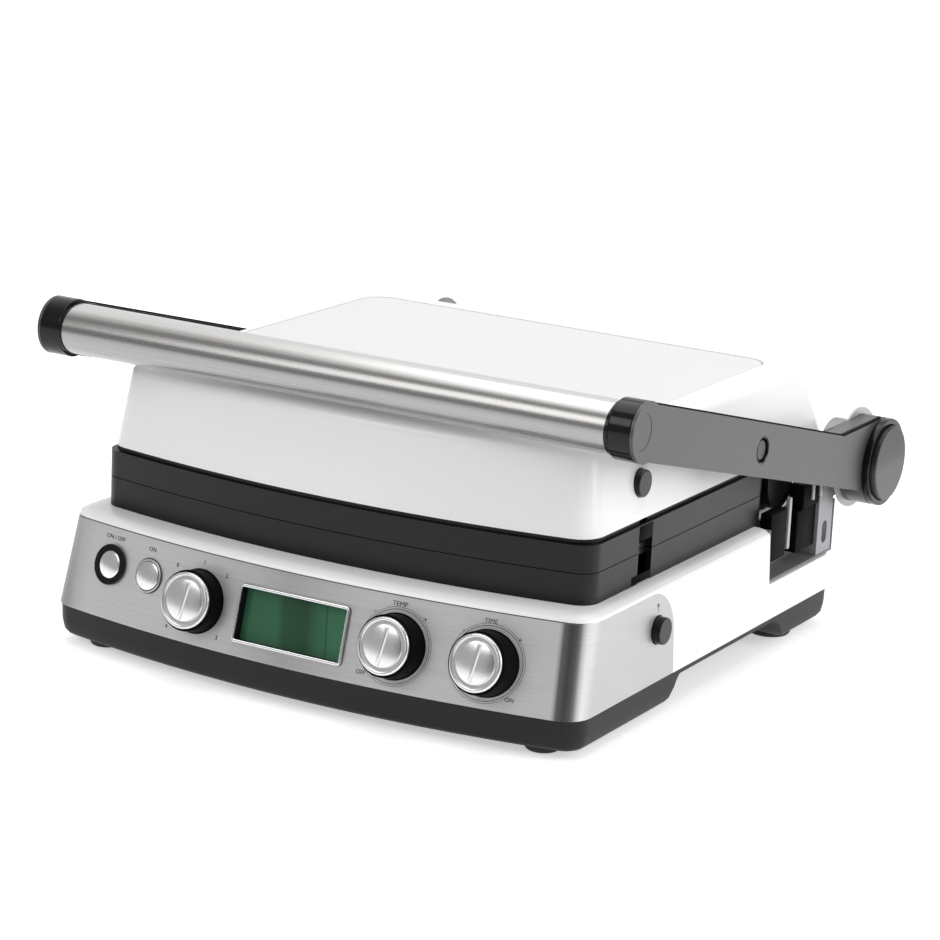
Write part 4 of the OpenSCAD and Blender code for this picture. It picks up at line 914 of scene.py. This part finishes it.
# %% World
world = bpy.data.worlds.new("studio")
scene.world = world
world.use_nodes = True
world_tree = world.node_tree
world_light = world_tree.nodes["Background"]
world_light.inputs["Color"].default_value = (0.95, 0.97, 1.0, 1)
world_light.inputs["Strength"].default_value = 0.6
world_seen, world_mirrored = seen_directly(world_tree)
room = world_tree.nodes.new("ShaderNodeTexCoord")


def dark_side(azimuth, elevation, wide, narrow):
    """1 within the narrow angle of a direction, down to 0 at the wide one, for mirrors only."""
    turn, lift = math.radians(azimuth), math.radians(elevation)
    outer, inner = math.cos(math.radians(wide)), math.cos(math.radians(narrow))
    towards = world_tree.nodes.new("ShaderNodeVectorMath")
    towards.operation = "DOT_PRODUCT"
    towards.inputs[1].default_value = (
        math.sin(turn) * math.cos(lift), -math.cos(turn) * math.cos(lift), math.sin(lift))
    world_tree.links.new(room.outputs["Generated"], towards.inputs[0])
    near = ramp_between(world_tree, towards.outputs["Value"], outer, inner)
    return add_math(world_tree, "MULTIPLY", near, world_mirrored)


white_wall, dim_wall, photographer = (1.0, 1.0, 1.0), (0.38, 0.375, 0.37), (0.06, 0.06, 0.06)
room_colour = blend_colours(world_tree, dark_side(-20, 0, 100, 50), white_wall, dim_wall)
room_colour = blend_colours(world_tree, dark_side(12, 12, 30, 14), room_colour, photographer)
white = world_tree.nodes.new("ShaderNodeBackground")
world_tree.links.new(room_colour, white.inputs["Color"])
world_mix = world_tree.nodes.new("ShaderNodeMixShader")
world_tree.links.new(world_seen, world_mix.inputs["Fac"])
world_tree.links.new(world_light.outputs[0], world_mix.inputs[1])
world_tree.links.new(white.outputs[0], world_mix.inputs[2])
world_tree.links.new(world_mix.outputs[0], world_tree.nodes["World Output"].inputs["Surface"])
print("world", world.name)

# %% Floor
floor_glow_strength = 0.5
floor_mesh = bmesh.new()
bmesh.ops.create_grid(floor_mesh, x_segments=8, y_segments=8, size=6)
floor_data = bpy.data.meshes.new("floor")
floor_mesh.to_mesh(floor_data)
floor_mesh.free()
floor = bpy.data.objects.new("floor", floor_data)
scene.collection.objects.link(floor)
floor_paint = bpy.data.materials.new("floor_paint")
floor_paint.use_nodes = True
floor_tree = floor_paint.node_tree
floor_shader = floor_tree.nodes["Principled BSDF"]
floor_shader.inputs["Base Color"].default_value = (0.85, 0.85, 0.85, 1)
floor_shader.inputs["Roughness"].default_value = 0.8
floor_glow = floor_tree.nodes.new("ShaderNodeEmission")
floor_seen, _ = seen_directly(floor_tree)
glow = add_math(floor_tree, "MULTIPLY", floor_seen, floor_glow_strength)
floor_tree.links.new(glow, floor_glow.inputs["Strength"])
floor_sum = floor_tree.nodes.new("ShaderNodeAddShader")
floor_tree.links.new(floor_shader.outputs[0], floor_sum.inputs[0])
floor_tree.links.new(floor_glow.outputs[0], floor_sum.inputs[1])
floor_tree.links.new(floor_sum.outputs[0], floor_tree.nodes["Material Output"].inputs["Surface"])
floor_data.materials.append(floor_paint)
print("floor", floor_data.name)


# %% Lamps
def softbox(name, place, target, size, power):
    data = bpy.data.lights.new(name, "AREA")
    data.shape = "RECTANGLE"
    data.size, data.size_y = size
    data.energy = power
    lamp = bpy.data.objects.new(name, data)
    lamp.location = place
    lamp.rotation_euler = (Vector(target) - Vector(place)).to_track_quat("-Z", "Y").to_euler()
    scene.collection.objects.link(lamp)
    print(name, power, "W")


softbox("top_light", (0, 0.2, 1.6), (0, 0, 0), (1.6, 1.6), 14)
softbox("left_light", (-0.7, -1.6, 1.3), (0, 0, 0.05), (1.0, 0.8), 8)
softbox("right_light", (1.8, 0.3, 0.8), (0, 0, 0.05), (1.0, 1.2), 15.5)
scene.view_settings.view_transform = "Standard"
